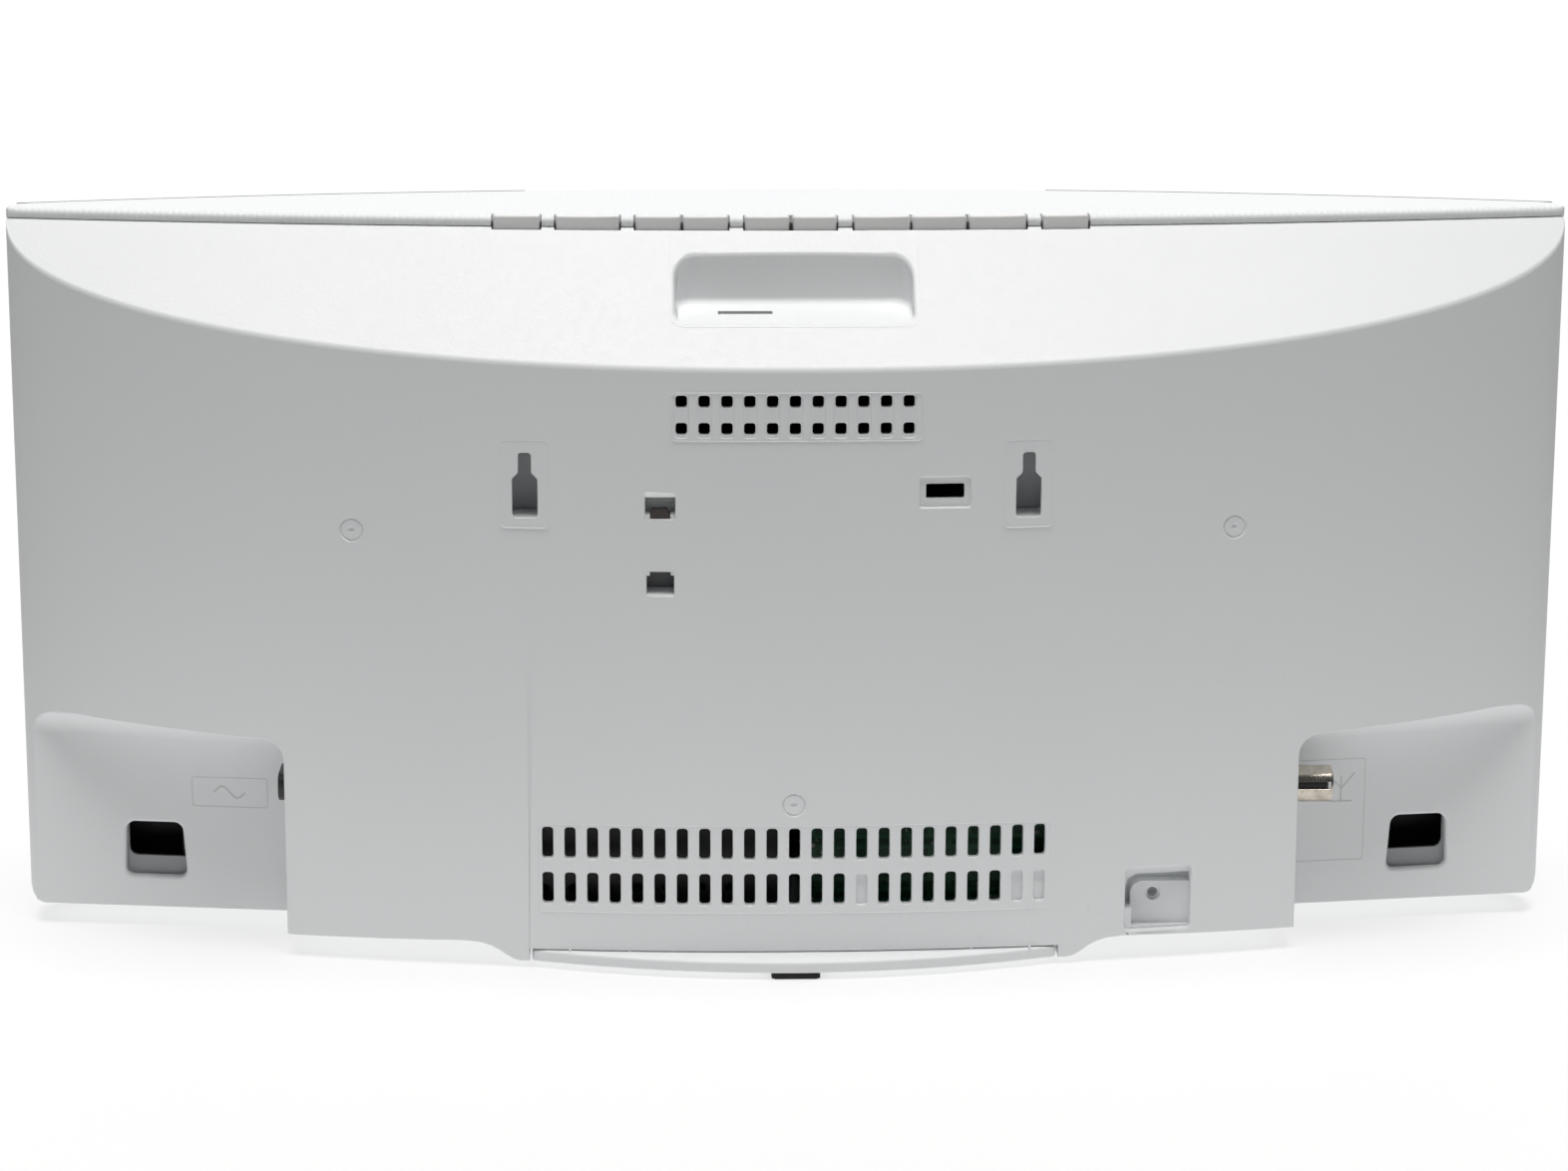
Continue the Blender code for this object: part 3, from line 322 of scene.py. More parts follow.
def combined(mesh, steps):
    """Applies Booleans in turn, cleaning up after each: a step is (operation, mesh)."""
    for operation, other in steps:
        base = bpy.data.objects.new("base", mesh)
        tool = bpy.data.objects.new("tool", other)
        scene.collection.objects.link(base)
        scene.collection.objects.link(tool)
        modifier = base.modifiers.new("step", "BOOLEAN")
        modifier.operation = operation
        modifier.solver = "EXACT"
        modifier.object = tool
        mesh = evaluated(base)
        bpy.data.objects.remove(base)
        bpy.data.objects.remove(tool)
        shape = bmesh.new()
        shape.from_mesh(mesh)
        bmesh.ops.remove_doubles(shape, verts=shape.verts, dist=2e-6)
        bmesh.ops.dissolve_degenerate(shape, edges=shape.edges, dist=2e-6)
        shape.to_mesh(mesh)
        shape.free()
    return mesh


def bevelled(mesh, width, segments=2, angle=30, weighted=False):
    """Rounds edges, either all that are sharper than an angle or those with a bevel weight."""
    obj = bpy.data.objects.new("bevelled", mesh)
    scene.collection.objects.link(obj)
    modifier = obj.modifiers.new("edges", "BEVEL")
    modifier.width = width * MM
    modifier.segments = segments
    modifier.use_clamp_overlap = False
    modifier.limit_method = "WEIGHT" if weighted else "ANGLE"
    modifier.angle_limit = math.radians(angle)
    made = evaluated(obj)
    bpy.data.objects.remove(obj)
    return made


def shaded(mesh, angle=38, surface=None):
    """Sets corner normals: the true surface's where a corner lies on it, else the mean of the faces
    round the corner that turn less than the angle, by area."""
    mesh.shade_smooth()
    shape = bmesh.new()
    shape.from_mesh(mesh)
    limit = math.cos(math.radians(angle))
    weighted = {face: face.normal * face.calc_area() for face in shape.faces}
    normals = []
    for face in shape.faces:
        for loop in face.loops:
            normal = surface(loop.vert.co / MM, face.normal) if surface else None
            if normal is None:
                normal = Vector()
                for other in loop.vert.link_faces:
                    if other.normal.dot(face.normal) > limit:
                        normal += weighted[other]
                normal = normal.normalized() if normal.length > 0 else face.normal
            normals.append(normal)
    shape.free()
    mesh.normals_split_custom_set(normals)
    return mesh


def soften(obj, width, segments=2, angle=30):
    """Rounded edges on a CAD node, with shading that leaves its flat faces flat."""
    obj.data.shade_smooth()
    weld = obj.modifiers.new("weld", "WELD")
    weld.merge_threshold = 2e-6
    bevel = obj.modifiers.new("edges", "BEVEL")
    bevel.width = width * MM
    bevel.segments = segments
    bevel.use_clamp_overlap = False
    bevel.limit_method = "ANGLE"
    bevel.angle_limit = math.radians(angle)
    normals = obj.modifiers.new("normals", "WEIGHTED_NORMAL")
    normals.keep_sharp = True


def piece(name, mesh, material, body="cabinet", stands_for=()):
    obj = bpy.data.objects.new(name, mesh)
    mesh.name = name
    mesh.materials.clear()
    mesh.materials.append(material)
    scene.collection.objects.link(obj)
    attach(obj, body)
    if stands_for:
        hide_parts(*stands_for)
    return obj


# ---------------------------------------------------------------- materials

def material(name, colour, roughness, metallic=0.0, coat=0.0):
    mat = bpy.data.materials.new(name)
    mat.use_nodes = True
    shader = mat.node_tree.nodes["Principled BSDF"]
    shader.inputs["Base Color"].default_value = (*colour, 1)
    shader.inputs["Roughness"].default_value = roughness
    shader.inputs["Metallic"].default_value = metallic
    shader.inputs["Coat Weight"].default_value = coat
    return mat


def add(mat, kind, inputs=None, **settings):
    """Adds a node; inputs are values or the sockets that feed them."""
    made = mat.node_tree.nodes.new(kind)
    for key, value in settings.items():
        setattr(made, key, value)
    for key, value in (inputs or {}).items():
        if isinstance(value, bpy.types.NodeSocket):
            mat.node_tree.links.new(value, made.inputs[key])
        else:
            made.inputs[key].default_value = value
    return made


def shader_of(mat):
    return mat.node_tree.nodes["Principled BSDF"]


def place(mat):
    return add(mat, "ShaderNodeTexCoord").outputs["Object"]


def noise(mat, scale, detail=2.0, vector=None, rough=0.5):
    where = vector or place(mat)
    return add(mat, "ShaderNodeTexNoise", {"Vector": where, "Scale": scale, "Detail": detail,
                                           "Roughness": rough}).outputs["Fac"]


def ramp(mat, value, low, high, start=0.0, end=1.0, smooth=False):
    made = add(mat, "ShaderNodeMapRange", {"Value": value, "From Min": low, "From Max": high,
                                           "To Min": start, "To Max": end})
    made.interpolation_type = "SMOOTHSTEP" if smooth else "LINEAR"
    return made.outputs["Result"]


def mixed(mat, factor, first, second):
    made = add(mat, "ShaderNodeMix", {0: factor}, data_type="RGBA")
    for socket, value in ((made.inputs[6], first), (made.inputs[7], second)):
        if isinstance(value, bpy.types.NodeSocket):
            mat.node_tree.links.new(value, socket)
        else:
            socket.default_value = (*value, 1)
    return made.outputs[2]


def maths(mat, operation, first, second=0.0):
    return add(mat, "ShaderNodeMath", {0: first, 1: second}, operation=operation).outputs[0]


def bumped(mat, height, distance, strength=1.0, normal=None):
    inputs = {"Height": height, "Distance": distance, "Strength": strength}
    if normal is not None:
        inputs["Normal"] = normal
    return add(mat, "ShaderNodeBump", inputs).outputs["Normal"]


def feed(mat, socket, value):
    mat.node_tree.links.new(value, shader_of(mat).inputs[socket])


def moulded(name, colour, roughness, grain=1800, depth=0.00003, tint=0.03, coat=0.0):
    """Moulded plastic: spark-eroded grain, a slight unevenness and a little mottling."""
    mat = material(name, colour, roughness, coat=coat)
    fine = noise(mat, grain, 3.0)
    broad = noise(mat, 22, 3.0)
    dark = tuple(c * (1 - tint) for c in colour)
    feed(mat, "Base Color", mixed(mat, ramp(mat, broad, 0.3, 0.7), dark, colour))
    patches = noise(mat, grain * 0.4, 2.0)
    feed(mat, "Roughness", ramp(mat, patches, 0.25, 0.75, roughness - 0.05, roughness + 0.06))
    wave = bumped(mat, broad, 0.00008)
    feed(mat, "Normal", bumped(mat, fine, depth, normal=wave))
    return mat


def spot(mat, centre, radius, squeeze=(1, 1, 1)):
    """1 at a point of the object, falling to 0 at the radius."""
    offset = add(mat, "ShaderNodeVectorMath", {0: place(mat), 1: tuple(c * MM for c in centre)},
                 operation="SUBTRACT").outputs[0]
    scaled = add(mat, "ShaderNodeVectorMath", {0: offset, 1: squeeze}, operation="MULTIPLY").outputs[0]
    length = add(mat, "ShaderNodeVectorMath", {0: scaled}, operation="LENGTH").outputs["Value"]
    return ramp(mat, length, radius * MM, 0.0)


def cabinet_material(name, worn=False, striped=False):
    colour = (0.848, 0.864, 0.872)
    mat = material(name, colour, 0.46)
    fine = noise(mat, 1500, 4.0)
    leather = add(mat, "ShaderNodeTexVoronoi", {"Vector": place(mat), "Scale": 1250}, feature="SMOOTH_F1")
    broad = noise(mat, 14, 3.0)
    tone = mixed(mat, ramp(mat, broad, 0.3, 0.7), (0.834, 0.85, 0.858), colour)
    if worn:
        speckle = ramp(mat, noise(mat, 420, 4.0, rough=0.7), 0.56, 0.66)
        blot = ramp(mat, noise(mat, 90, 3.0), 0.48, 0.62)
        for centre, radius, squeeze, strength in SCUFFS:
            near = spot(mat, centre, radius, squeeze)
            amount = maths(mat, "MULTIPLY", near, maths(mat, "MULTIPLY", speckle, blot))
            amount = maths(mat, "MULTIPLY", amount, strength)
            tone = mixed(mat, amount, tone, (0.36, 0.33, 0.28))
    feed(mat, "Base Color", tone)
    feed(mat, "Roughness", ramp(mat, noise(mat, 700, 2.0), 0.25, 0.75, 0.42, 0.54))
    soft = bumped(mat, broad, 0.0001)
    grain = bumped(mat, leather.outputs["Distance"], 0.00004, 0.5, soft)
    if striped:
        lines = add(mat, "ShaderNodeTexWave", {"Vector": place(mat), "Scale": 190.0}, bands_direction="X")
        grain = bumped(mat, lines.outputs["Fac"], 0.00008, 1.0, grain)
    feed(mat, "Normal", bumped(mat, fine, 0.00004, 0.5, grain))
    return mat


def metal(name, colour, roughness, stretch=(1, 1, 30), grime=0.0):
    mat = material(name, colour, roughness, metallic=1.0)
    scaled = add(mat, "ShaderNodeMapping", {"Vector": place(mat), "Scale": stretch}).outputs[0]
    lines = noise(mat, 260, 4.0, scaled)
    stain = noise(mat, 340, 4.0)
    dull = tuple(c * 0.62 for c in colour)
    feed(mat, "Base Color", mixed(mat, ramp(mat, stain, 0.4, 0.75, 0, 0.5 + grime), colour, dull))
    feed(mat, "Roughness", ramp(mat, lines, 0.3, 0.7, roughness - 0.08, roughness + 0.12))
    feed(mat, "Normal", bumped(mat, lines, 0.00002, 0.6))
    return mat


def cloth_material():
    """Speaker cloth: a fine basket weave of black and charcoal threads."""
    mat = material("grille_cloth_weave", (0.035, 0.035, 0.038), 0.85)
    shader_of(mat).inputs["Sheen Weight"].default_value = 0.35
    warp = add(mat, "ShaderNodeTexWave", {"Vector": place(mat), "Scale": 210.0}, bands_direction="X")
    weft = add(mat, "ShaderNodeTexWave", {"Vector": place(mat), "Scale": 210.0}, bands_direction="Z")
    weave = maths(mat, "MULTIPLY", warp.outputs["Fac"], weft.outputs["Fac"])
    slub = noise(mat, 160, 4.0)
    tone = mixed(mat, weave, (0.012, 0.012, 0.013), (0.075, 0.075, 0.08))
    feed(mat, "Base Color", mixed(mat, ramp(mat, slub, 0.4, 0.8, 0, 0.5), tone, (0.03, 0.03, 0.032)))
    feed(mat, "Normal", bumped(mat, weave, 0.00025))
    return mat


def board_material(name, mask, trace):
    """Circuit board: solder mask, tracks and tinned pads."""
    mat = material(name, mask, 0.38)
    tracks = add(mat, "ShaderNodeTexBrick", {"Vector": add(mat, "ShaderNodeMapping", {
        "Vector": place(mat), "Rotation": (math.pi / 2, 0, 0)}).outputs[0], "Scale": 60.0,
        "Mortar Size": 0.035, "Brick Width": 0.6, "Row Height": 0.17})
    pads = add(mat, "ShaderNodeTexVoronoi", {"Vector": place(mat), "Scale": 330.0}, feature="F1")
    pad = ramp(mat, pads.outputs["Distance"], 0.24, 0.2)
    run = ramp(mat, noise(mat, 55, 2.0), 0.5, 0.56)
    tone = mixed(mat, maths(mat, "MULTIPLY", tracks.outputs["Fac"], 0.8), mask, trace)
    tone = mixed(mat, maths(mat, "MULTIPLY", pad, run), tone, (0.42, 0.43, 0.42))
    feed(mat, "Base Color", tone)
    feed(mat, "Roughness", ramp(mat, pad, 0, 1, 0.42, 0.28))
    feed(mat, "Normal", bumped(mat, tracks.outputs["Fac"], 0.00006))
    return mat


WHITE = cabinet_material("cabinet_grained_white")
SHELL = cabinet_material("rear_shell_white", worn=True)
TOP = cabinet_material("top_panel_white", striped=True)
MATERIALS = {
    "cabinet_white": WHITE,
    "key_white": moulded("key_satin_white", (0.86, 0.86, 0.855), 0.38, 900, 0.000015),
    "grille_cloth": cloth_material(),
    "door_gloss": moulded("door_gloss_white", (0.84, 0.84, 0.845), 0.14, 300, 0.000004, 0.01, 0.6),
    "dark_plastic": moulded("black_moulding", (0.022, 0.022, 0.024), 0.42),
    "grey_plastic": moulded("grey_moulding", (0.33, 0.34, 0.35), 0.5),
    "window_smoke": moulded("smoked_window", (0.012, 0.012, 0.014), 0.08, 200, 0.000002, 0.1, 1.0),
    "board_green": board_material("solder_mask_green", (0.012, 0.075, 0.035), (0.03, 0.16, 0.075)),
    "steel_zinc": metal("zinc_steel", (0.5, 0.51, 0.53), 0.34),
    "nickel": metal("tarnished_nickel", (0.6, 0.55, 0.48), 0.24, (30, 1, 1), 0.4),
    "ferrite": moulded("ferrite", (0.035, 0.035, 0.04), 0.6, 700, 0.00008),
    "cone_paper": moulded("cone_paper", (0.04, 0.04, 0.042), 0.85, 500, 0.0002, 0.3),
    "rubber_black": moulded("pad_rubber", (0.018, 0.018, 0.018), 0.8, 900, 0.0001, 0.3),
    # Near-black, darker than the heat sink's zinc steel slot.
    "heat_sink_darkened": moulded("heat_sink_near_black", (0.03, 0.03, 0.032), 0.4),
    "latch_grey": moulded("latch_grey", (0.13, 0.133, 0.14), 0.5),
    # Grey that paints shade onto the white backs of the keyhole pockets.
    "pocket_painted_shade": moulded("pocket_painted_shade", (0.6, 0.615, 0.63), 0.55),
    # Darker grey that paints the shading of raised white marks.
    "mark_painted_shade": moulded("mark_painted_shade", (0.66, 0.675, 0.68), 0.5),
    "trim": moulded("front_trim_brown", (0.06, 0.05, 0.045), 0.4),
    "coil_tape": moulded("coil_tape", (0.62, 0.42, 0.05), 0.35, 300, 0.00002, 0.25),
}


# ---------------------------------------------------------------- camera and stage

def make_camera():
    data = bpy.data.cameras.new("camera")
    data.lens = 91.6
    data.sensor_width = 36
    data.clip_end = 50
    cam = bpy.data.objects.new("camera", data)
    scene.collection.objects.link(cam)
    forward = Vector((-0.03359, -0.97577, -0.21619)).normalized()
    cam.location = (0.0364, 1.0126, 0.3143)
    turn = forward.to_track_quat("-Z", "Y").to_matrix().to_4x4()
    cam.rotation_euler = (turn @ Matrix.Rotation(0.00335, 4, "Z")).to_euler()
    scene.camera = cam


def make_sun(strength, angle, lean):
    """Broad overhead light; lean tips it toward the rear of the object, in degrees."""
    data = bpy.data.lights.new("overhead", "SUN")
    data.energy = strength
    data.angle = math.radians(angle)
    data.color = (1, 0.985, 0.975)
    lamp = bpy.data.objects.new("overhead", data)
    lamp.rotation_euler = (math.radians(-lean), 0, 0)
    scene.collection.objects.link(lamp)


def make_stage():
    """A lit table: white under and behind the object, softly darker to its sides and near the camera."""
    steps = [-9000, -3000, -1500, -900, -500, -200, 0, 200, 500, 900, 1500, 3000, 9000]
    shape = bmesh.new()
    rows = [[shape.verts.new((x, y, -0.02)) for x in steps] for y in steps]
    for low, high in zip(rows, rows[1:]):
        for i in range(len(steps) - 1):
            shape.faces.new((low[i], low[i + 1], high[i + 1], high[i]))
    floor = bpy.data.objects.new("floor", finished(shape))
    scene.collection.objects.link(floor)
    mat = material("floor_white", (0.3, 0.3, 0.3), 0.7)
    feed(mat, "Roughness", ramp(mat, noise(mat, 3, 2.0), 0.3, 0.7, 0.65, 0.75))
    axes = add(mat, "ShaderNodeSeparateXYZ", {"Vector": place(mat)}).outputs
    across = maths(mat, "SUBTRACT", maths(mat, "ABSOLUTE", axes["X"]), 0.21)
    behind = maths(mat, "MAXIMUM", maths(mat, "MULTIPLY", axes["Y"], -1.0), 0.0)
    behind = maths(mat, "MULTIPLY", behind, 0.25)
    ahead = maths(mat, "SUBTRACT", axes["Y"], 0.19)
    away = maths(mat, "MAXIMUM", maths(mat, "SUBTRACT", across, behind), ahead)
    lit = ramp(mat, away, 0.0, 0.26, *FLOOR_GLOW, smooth=True)
    shader_of(mat).inputs["Emission Color"].default_value = (1, 1, 1, 1)
    feed(mat, "Emission Strength", lit)
    floor.data.materials.append(mat)
    world = bpy.data.worlds.new("studio")
    world.use_nodes = True
    sky = world.node_tree.nodes["Background"]
    sky.inputs["Color"].default_value = (0.95, 0.98, 1, 1)
    facing = add(world, "ShaderNodeTexCoord").outputs["Generated"]
    level = add(world, "ShaderNodeSeparateXYZ", {"Vector": facing}).outputs["Y"]
    glow = ramp(world, level, -0.45, -0.95, WORLD, BACKDROP, smooth=True)
    world.node_tree.links.new(glow, sky.inputs["Strength"])
    scene.world = world
    make_sun(SUN, SUN_SIZE, SUN_LEAN)
    scene.view_settings.view_transform = "Standard"


# ---------------------------------------------------------------- rear shell

def shell_body():
    xs = stations(HALF, 64)
    front = [(HALF, SEAM_Y), (-HALF, SEAM_Y)]
    rings = [[(x, rear_y(x), 0.5) for x in xs] + [(x, y, 0.5) for x, y in front]]
    for turn in (0, 15, 30, 45):
        turn = math.radians(turn)
        ring = []
        for x in xs:
            radius, drop = crease(x)
            ring.append((x, rear_y(x) - radius + radius * math.cos(turn),
                         SLOPE_TOP - bulge(x) - drop + radius * math.sin(turn)))
        rings.append(ring + [(x, y, ring[0][2] + 0.05 * turn) for x, y in front])
    rings.append([(x, lip_y(x), SLOPE_TOP) for x in xs] + [(x, y, SLOPE_TOP) for x, y in front])
    return loft(rings)


def outer_normal(point, facing):
    """The true normal of the rear wall, crease and slope at a point that lies on them, else None."""
    x, y, z = point
    if abs(x) > 199.3:
        return None
    radius, drop = crease(x)
    low = SLOPE_TOP - bulge(x) - drop
    wall_turn = (rear_y(x + 0.4) - rear_y(x - 0.4)) / 0.8
    slope_turn = -2 * LIP_BOW * x / HALF ** 2
    if z <= low + 0.01:
        off, normal = y - rear_y(x), Vector((-wall_turn, 1, 0))
    elif z < low + 0.7071 * radius:
        up, out = z - low, y - rear_y(x) + radius
        off, turn = math.hypot(up, out) - radius, math.atan2(up, out)
        blend = turn / (math.pi / 4)
        lean = wall_turn * (1 - blend) + slope_turn * math.sqrt(0.5) * blend
        normal = Vector((-lean, math.cos(turn), math.sin(turn)))
    else:
        off, normal = (y - slope_y(x, z)) * math.sqrt(0.5), Vector((-slope_turn, 1, 1))
    normal.normalize()
    return normal if abs(off) < 0.1 and normal.dot(facing) > 0.965 else None


def wing_cutter(side, grow=0.0):
    """The recess at a lower corner: slanting floor, rounded into the ceiling, open below and behind."""
    rings = []
    near = (WING_WALL_X, 129.75, 130.4, 131.4, 132.8, 134.5)
    far = (140, 150, 161, 172, 183, 189, 192, 194, 196, 197.5, 203)
    for x in near + far:
        top = 57 + 0.042 * (min(x, 183) - 139.5) + grow
        if x < 134.5:
            top -= 5 - math.sqrt(25 - (134.5 - x) ** 2)
        deep = wing_y(x) - grow
        fillet = max(WING_FILLET - grow, 1)
        ring = [(80, top)]
        for i in range(9):
            turn = math.radians(90 - 90 * i / 8)
            ring.append((deep + fillet - fillet * math.cos(turn), top - fillet + fillet * math.sin(turn)))
        ring += [(deep, -6 - grow), (80, -6 - grow)]
        reach = x - grow if x < 134.5 else x
        rings.append([(side * reach, y, z) for y, z in ring])
    return loft(rings)


def handle_cutter(grow=0.0):
    """The finger recess: rounded upright back corners and a floor that falls outward."""
    x0, x1 = HANDLE[0] - grow, HANDLE[1] + grow
    back, radius = HANDLE_BACK_Y - grow, 4.7
    rings = []
    for inset, lift in ((1.5, 0), (0.75, 0.2), (0.2, 0.75), (0, 1.5), (0, 30)):
        plan = []
        corner = radius - inset * 0.4
        for cx, start in ((x0 + inset + corner, 180), (x1 - inset - corner, 270)):
            for i in range(9):
                turn = math.radians(start + 90 * i / 8)
                plan.append((cx + corner * math.cos(turn), back + inset + corner + corner * math.sin(turn)))
        plan = [(x0 + inset, 62)] + plan + [(x1 - inset, 62)]
        floor = HANDLE_FLOOR - grow
        rings.append([(x, y, floor - 0.18 * (y - HANDLE_BACK_Y) + lift) for x, y in plan])
    return loft(rings)


def keyhole_outline(centre, grow=0.0):
    """A hanging keyhole: a wide part for the screw's head under a narrow neck."""
    wide, narrow = 3.15 + grow, 1.62 + grow
    right = [(wide - 1.1, 116.6 - grow), (wide - 0.5, 116.72 - grow)]
    right += [(wide - 0.12, 117.1 - grow), (wide, 117.7)]
    right += [(wide, 126.4), (narrow + 0.1, 127.8), (narrow, 128.1), (narrow, 132.2 + grow)]
    right += [(narrow - 0.2, 132.75 + grow), (narrow - 0.7, 133.0 + grow)]
    return [(centre + x, z) for x, z in right] + [(centre - x, z) for x, z in reversed(right)]


def shell_openings():
    """Everything that pierces or dents the rear wall, as cutters that don't touch each other."""
    shapes = []
    centre, pitch, rows = UPPER_VENTS
    for i in range(11):
        x = centre + (5 - i) * pitch
        for z in rows:
            mouth = framed(x - VENT_HALF, x + VENT_HALF, z - 1.5, z + 1.5, 0.75)
            shapes.append(hole(mouth, rear_y, 0.22))
    centre, pitch, rows = LOWER_VENTS
    for row, z in enumerate(rows):
        for i in range(23):
            x = centre + (11 - i) * pitch
            depth = 1.3 if row == 1 and i in BLIND_VENTS else 5
            mouth = framed(x - VENT_HALF, x + VENT_HALF, z - 4.15, z + 4.15, 0.9)
            shapes.append(hole(mouth, rear_y, 0.25, depth))
    for x in KEYHOLES_X:
        shapes.append(hole(lambda g, x=x: keyhole_outline(x, g), rear_y, 0.25, 3.2))
    for x, z in GATE_MARKS:
        rings = [(-2.7, 0.7), (-2.25, 0.5), (-2.1, 0.25), (-0.5, 0.25),
                 (-0.3, 0.5), (-0.05, 0.45), (0.25, 0)]
        shapes.append(opening(lambda g, x=x, z=z: circle(x, z, 2.95 + g), rear_y, rings))
    slot = [(0, 0.85), (0.02, 0.5), (0.12, 0.2), (0.35, 0)]
    shapes.append(opening(framed(-43.2, -30.6, 119.5, 127.0, 0.5), rear_y, slot))
    for x0, x1, z0, z1 in ((30.1, 37.5, 116.7, 122.4), (30.4, 37.2, 97.2, 103.3)):
        rings = [(0, 6), (0, 0.5), (0.1, 0.2), (0.35, 0)]
        shapes.append(opening(framed(x0, x1, z0, z1, 0.25), rear_y, rings))
    x0, x1, z0, z1 = STRAP
    rings = [(0, 1.6), (0, 0.9), (0.12, 0.3), (0.5, 0)]
    shapes.append(opening(framed(x0, x1, z0, z1, 0.9), rear_y, rings))
    x, y = FOOT_SCREW
    for side in (1, -1):
        shapes.append(prism(circle(side * x, y, 1.8, 16), 2, 12))
    y, z = INLET
    plug = rounded(y - 7.6, y + 7.6, z - 4, z + 4, 3.2, 5)
    shapes.append(prism(plug, WING_WALL_X - 6, WING_WALL_X + 1, "X"))
    y, z = JACK
    shapes.append(prism(circle(y, z, 4.2), -WING_WALL_X - 1, -WING_WALL_X + 6, "X"))
    for side in (1, -1):
        rings = [(0, 8), (0, 1.1), (0.12, 0.5), (0.45, 0.15), (0.9, 0)]
        shapes.append(opening(lambda g, side=side: port_outline(side, g), wing_y, rings, 2))
    return joined(shapes)


def port_outline(side, grow=0.0):
    """Mouth of a port: narrower at the top, most of all toward the middle of the object."""
    points = rounded(158.6, 173.2, 13.8, 28.4, 2.2, 5, grow)
    lean = [(x + (28.4 - z) / 14.6 * (0.6 if x > 166 else -1.0), z) for x, z in points]
    return [(side * x, z) for x, z in (lean if side > 0 else reversed(lean))]


def slot_floor_y(x, z=0):
    """Floor of the shallow slot beside a keyhole."""
    return rear_y(x) - 0.85


def strap_floor_y(x):
    """Floor of the strap holder's recess."""
    return rear_y(x) - 1.55


def second_openings():
    """Cutters that reach on from inside the first ones."""
    shapes = []
    for x in KEYHOLES_X:
        inside = float(inner_rear_y(x))
        pocket = rounded(x - 4.3, x + 4.3, 116.7, 134.8, 0.8, 3)
        shapes.append(prism(pocket, inside - POCKET_DEPTH, inside + 0.5, "Y"))
    shapes.append(hole(framed(-41.7, -32.1, 121.6, 125.3, 0.45, 3), slot_floor_y, 0.15, 5, 0.4))
    x0 = STRAP[0]
    plate = [(x0 + 0.02, 8.4), (-86.3, 8.4), (-86.3, 16.8), (-87.0, 18.7), (-89.0, 19.7), (x0 + 0.02, 19.7)]
    shapes.append(loft([[(x, 34, z) for x, z in plate], [(x, strap_floor_y(x) + 0.3, z) for x, z in plate]]))
    groove = [(x0 + 0.02, 19.6), (-89.0, 19.6), (-87.1, 18.6), (-86.4, 16.8), (-86.4, 13.4), (-84.6, 13.4)]
    groove += [(-84.6, 19.4), (-85.3, 21.4), (-87.4, 22.5), (x0 + 0.02, 22.5)]
    shapes.append(loft([[(x, 30.3, z) for x, z in groove],
                        [(x, strap_floor_y(x) + 0.25, z) for x, z in groove]]))
    shapes.append(prism([(5.6, 26.6), (19.2, 26.6), (19.2, 28.8), (5.6, 28.8)], 158, 172))
    return shapes


def screw_seat():
    x, z = STRAP_SCREW
    rings = [(0, 4), (0, 1.0), (0.6, 0.75), (0.62, 0)]
    return opening(lambda g: circle(x, z, 1.28 + g), lambda u, v: 34, rings, 1)


def channel_cutters():
    """Shallow channels that run down the two rows of upper vents."""
    shapes = []
    centre, pitch, _ = UPPER_VENTS
    for i in range(11):
        x = centre + (5 - i) * pitch
        rings = [(0, 0.35), (0.08, 0.14), (0.3, 0)]
        shapes.append(opening(framed(x - 1.72, x + 1.72, 137.15, 147.95, 0.9), rear_y, rings))
    return joined(shapes)


def cavity():
    """The shell's hollow: the inner shell less the walls round each recess."""
    xs = stations(HALF - WALL - 0.05, 48)
    inner = inner_rear_y(np.array(xs))
    drop = WALL * math.sqrt(2)
    front = [(xs[-1], -30), (xs[0], -30)]
    plan = list(zip(xs, inner))
    low = [(x, y, BOTTOM + WALL) for x, y in plan + front]
    bend = [(x, y, SLOPE_TOP - drop - (y - lip_y(x))) for x, y in plan]
    bend += [(x, y, SLOPE_TOP - drop) for x, y in front]
    crest = [(x, lip_y(x) - (192 - SLOPE_TOP + drop), 192) for x in xs] + [(x, y, 192) for x, y in front]
    x0, x1, z0, z1 = STRAP
    kept = [handle_cutter(2.2), box(x0 - WALL, x1 + WALL, 29.2, 60, -5, z1 + WALL)]
    for x in KEYHOLES_X:
        inside = float(inner_rear_y(x))
        kept.append(box(x - 6, x + 6, inside - 11, 60, 113.5, 136.5))
    walls = joined([wing_cutter(1, WALL), wing_cutter(-1, WALL)])
    return combined(loft([low, bend, crest]), [("DIFFERENCE", walls), ("DIFFERENCE", joined(kept))])


def under_cutter():
    """Everything below the shell's lower edge, from the skirt beside the foot out to the corners."""
    skirt = [(84, 6.5), (79.6, 6.1), (77.2, 5.4), (75.2, 4.4),
             (73.3, 3.1), (71.4, 2.0), (69.9, 1.6), (67.3, 1.6)]
    corner = [(210, 9.4), (200, 9.4), (199.2, 7.4), (197.8, 6.1), (195.6, 5.6)]
    right = [(210, -5), *corner, (129.5, 5.6), (100, 6.1), *skirt, (67.3, 5.0)]
    under = right + [(-x, z) for x, z in reversed(right)]
    return prism(under, -30, 70, "Y")


def notch_cutter():
    """Room for the keys in the shell's upper edge."""
    shapes = []
    for x0, x1 in KEY_GROUPS_X:
        x0, x1 = x0 - KEY_GAP, x1 + KEY_GAP
        back = [(x, lip_y(x) + 0.6) for x in (x0, (x0 + x1) / 2, x1)]
        front = [(x, lip_y(x) - 12) for x in (x1, x0)]
        shapes.append(prism(back + front, 182.9, 190))
    return joined(shapes)


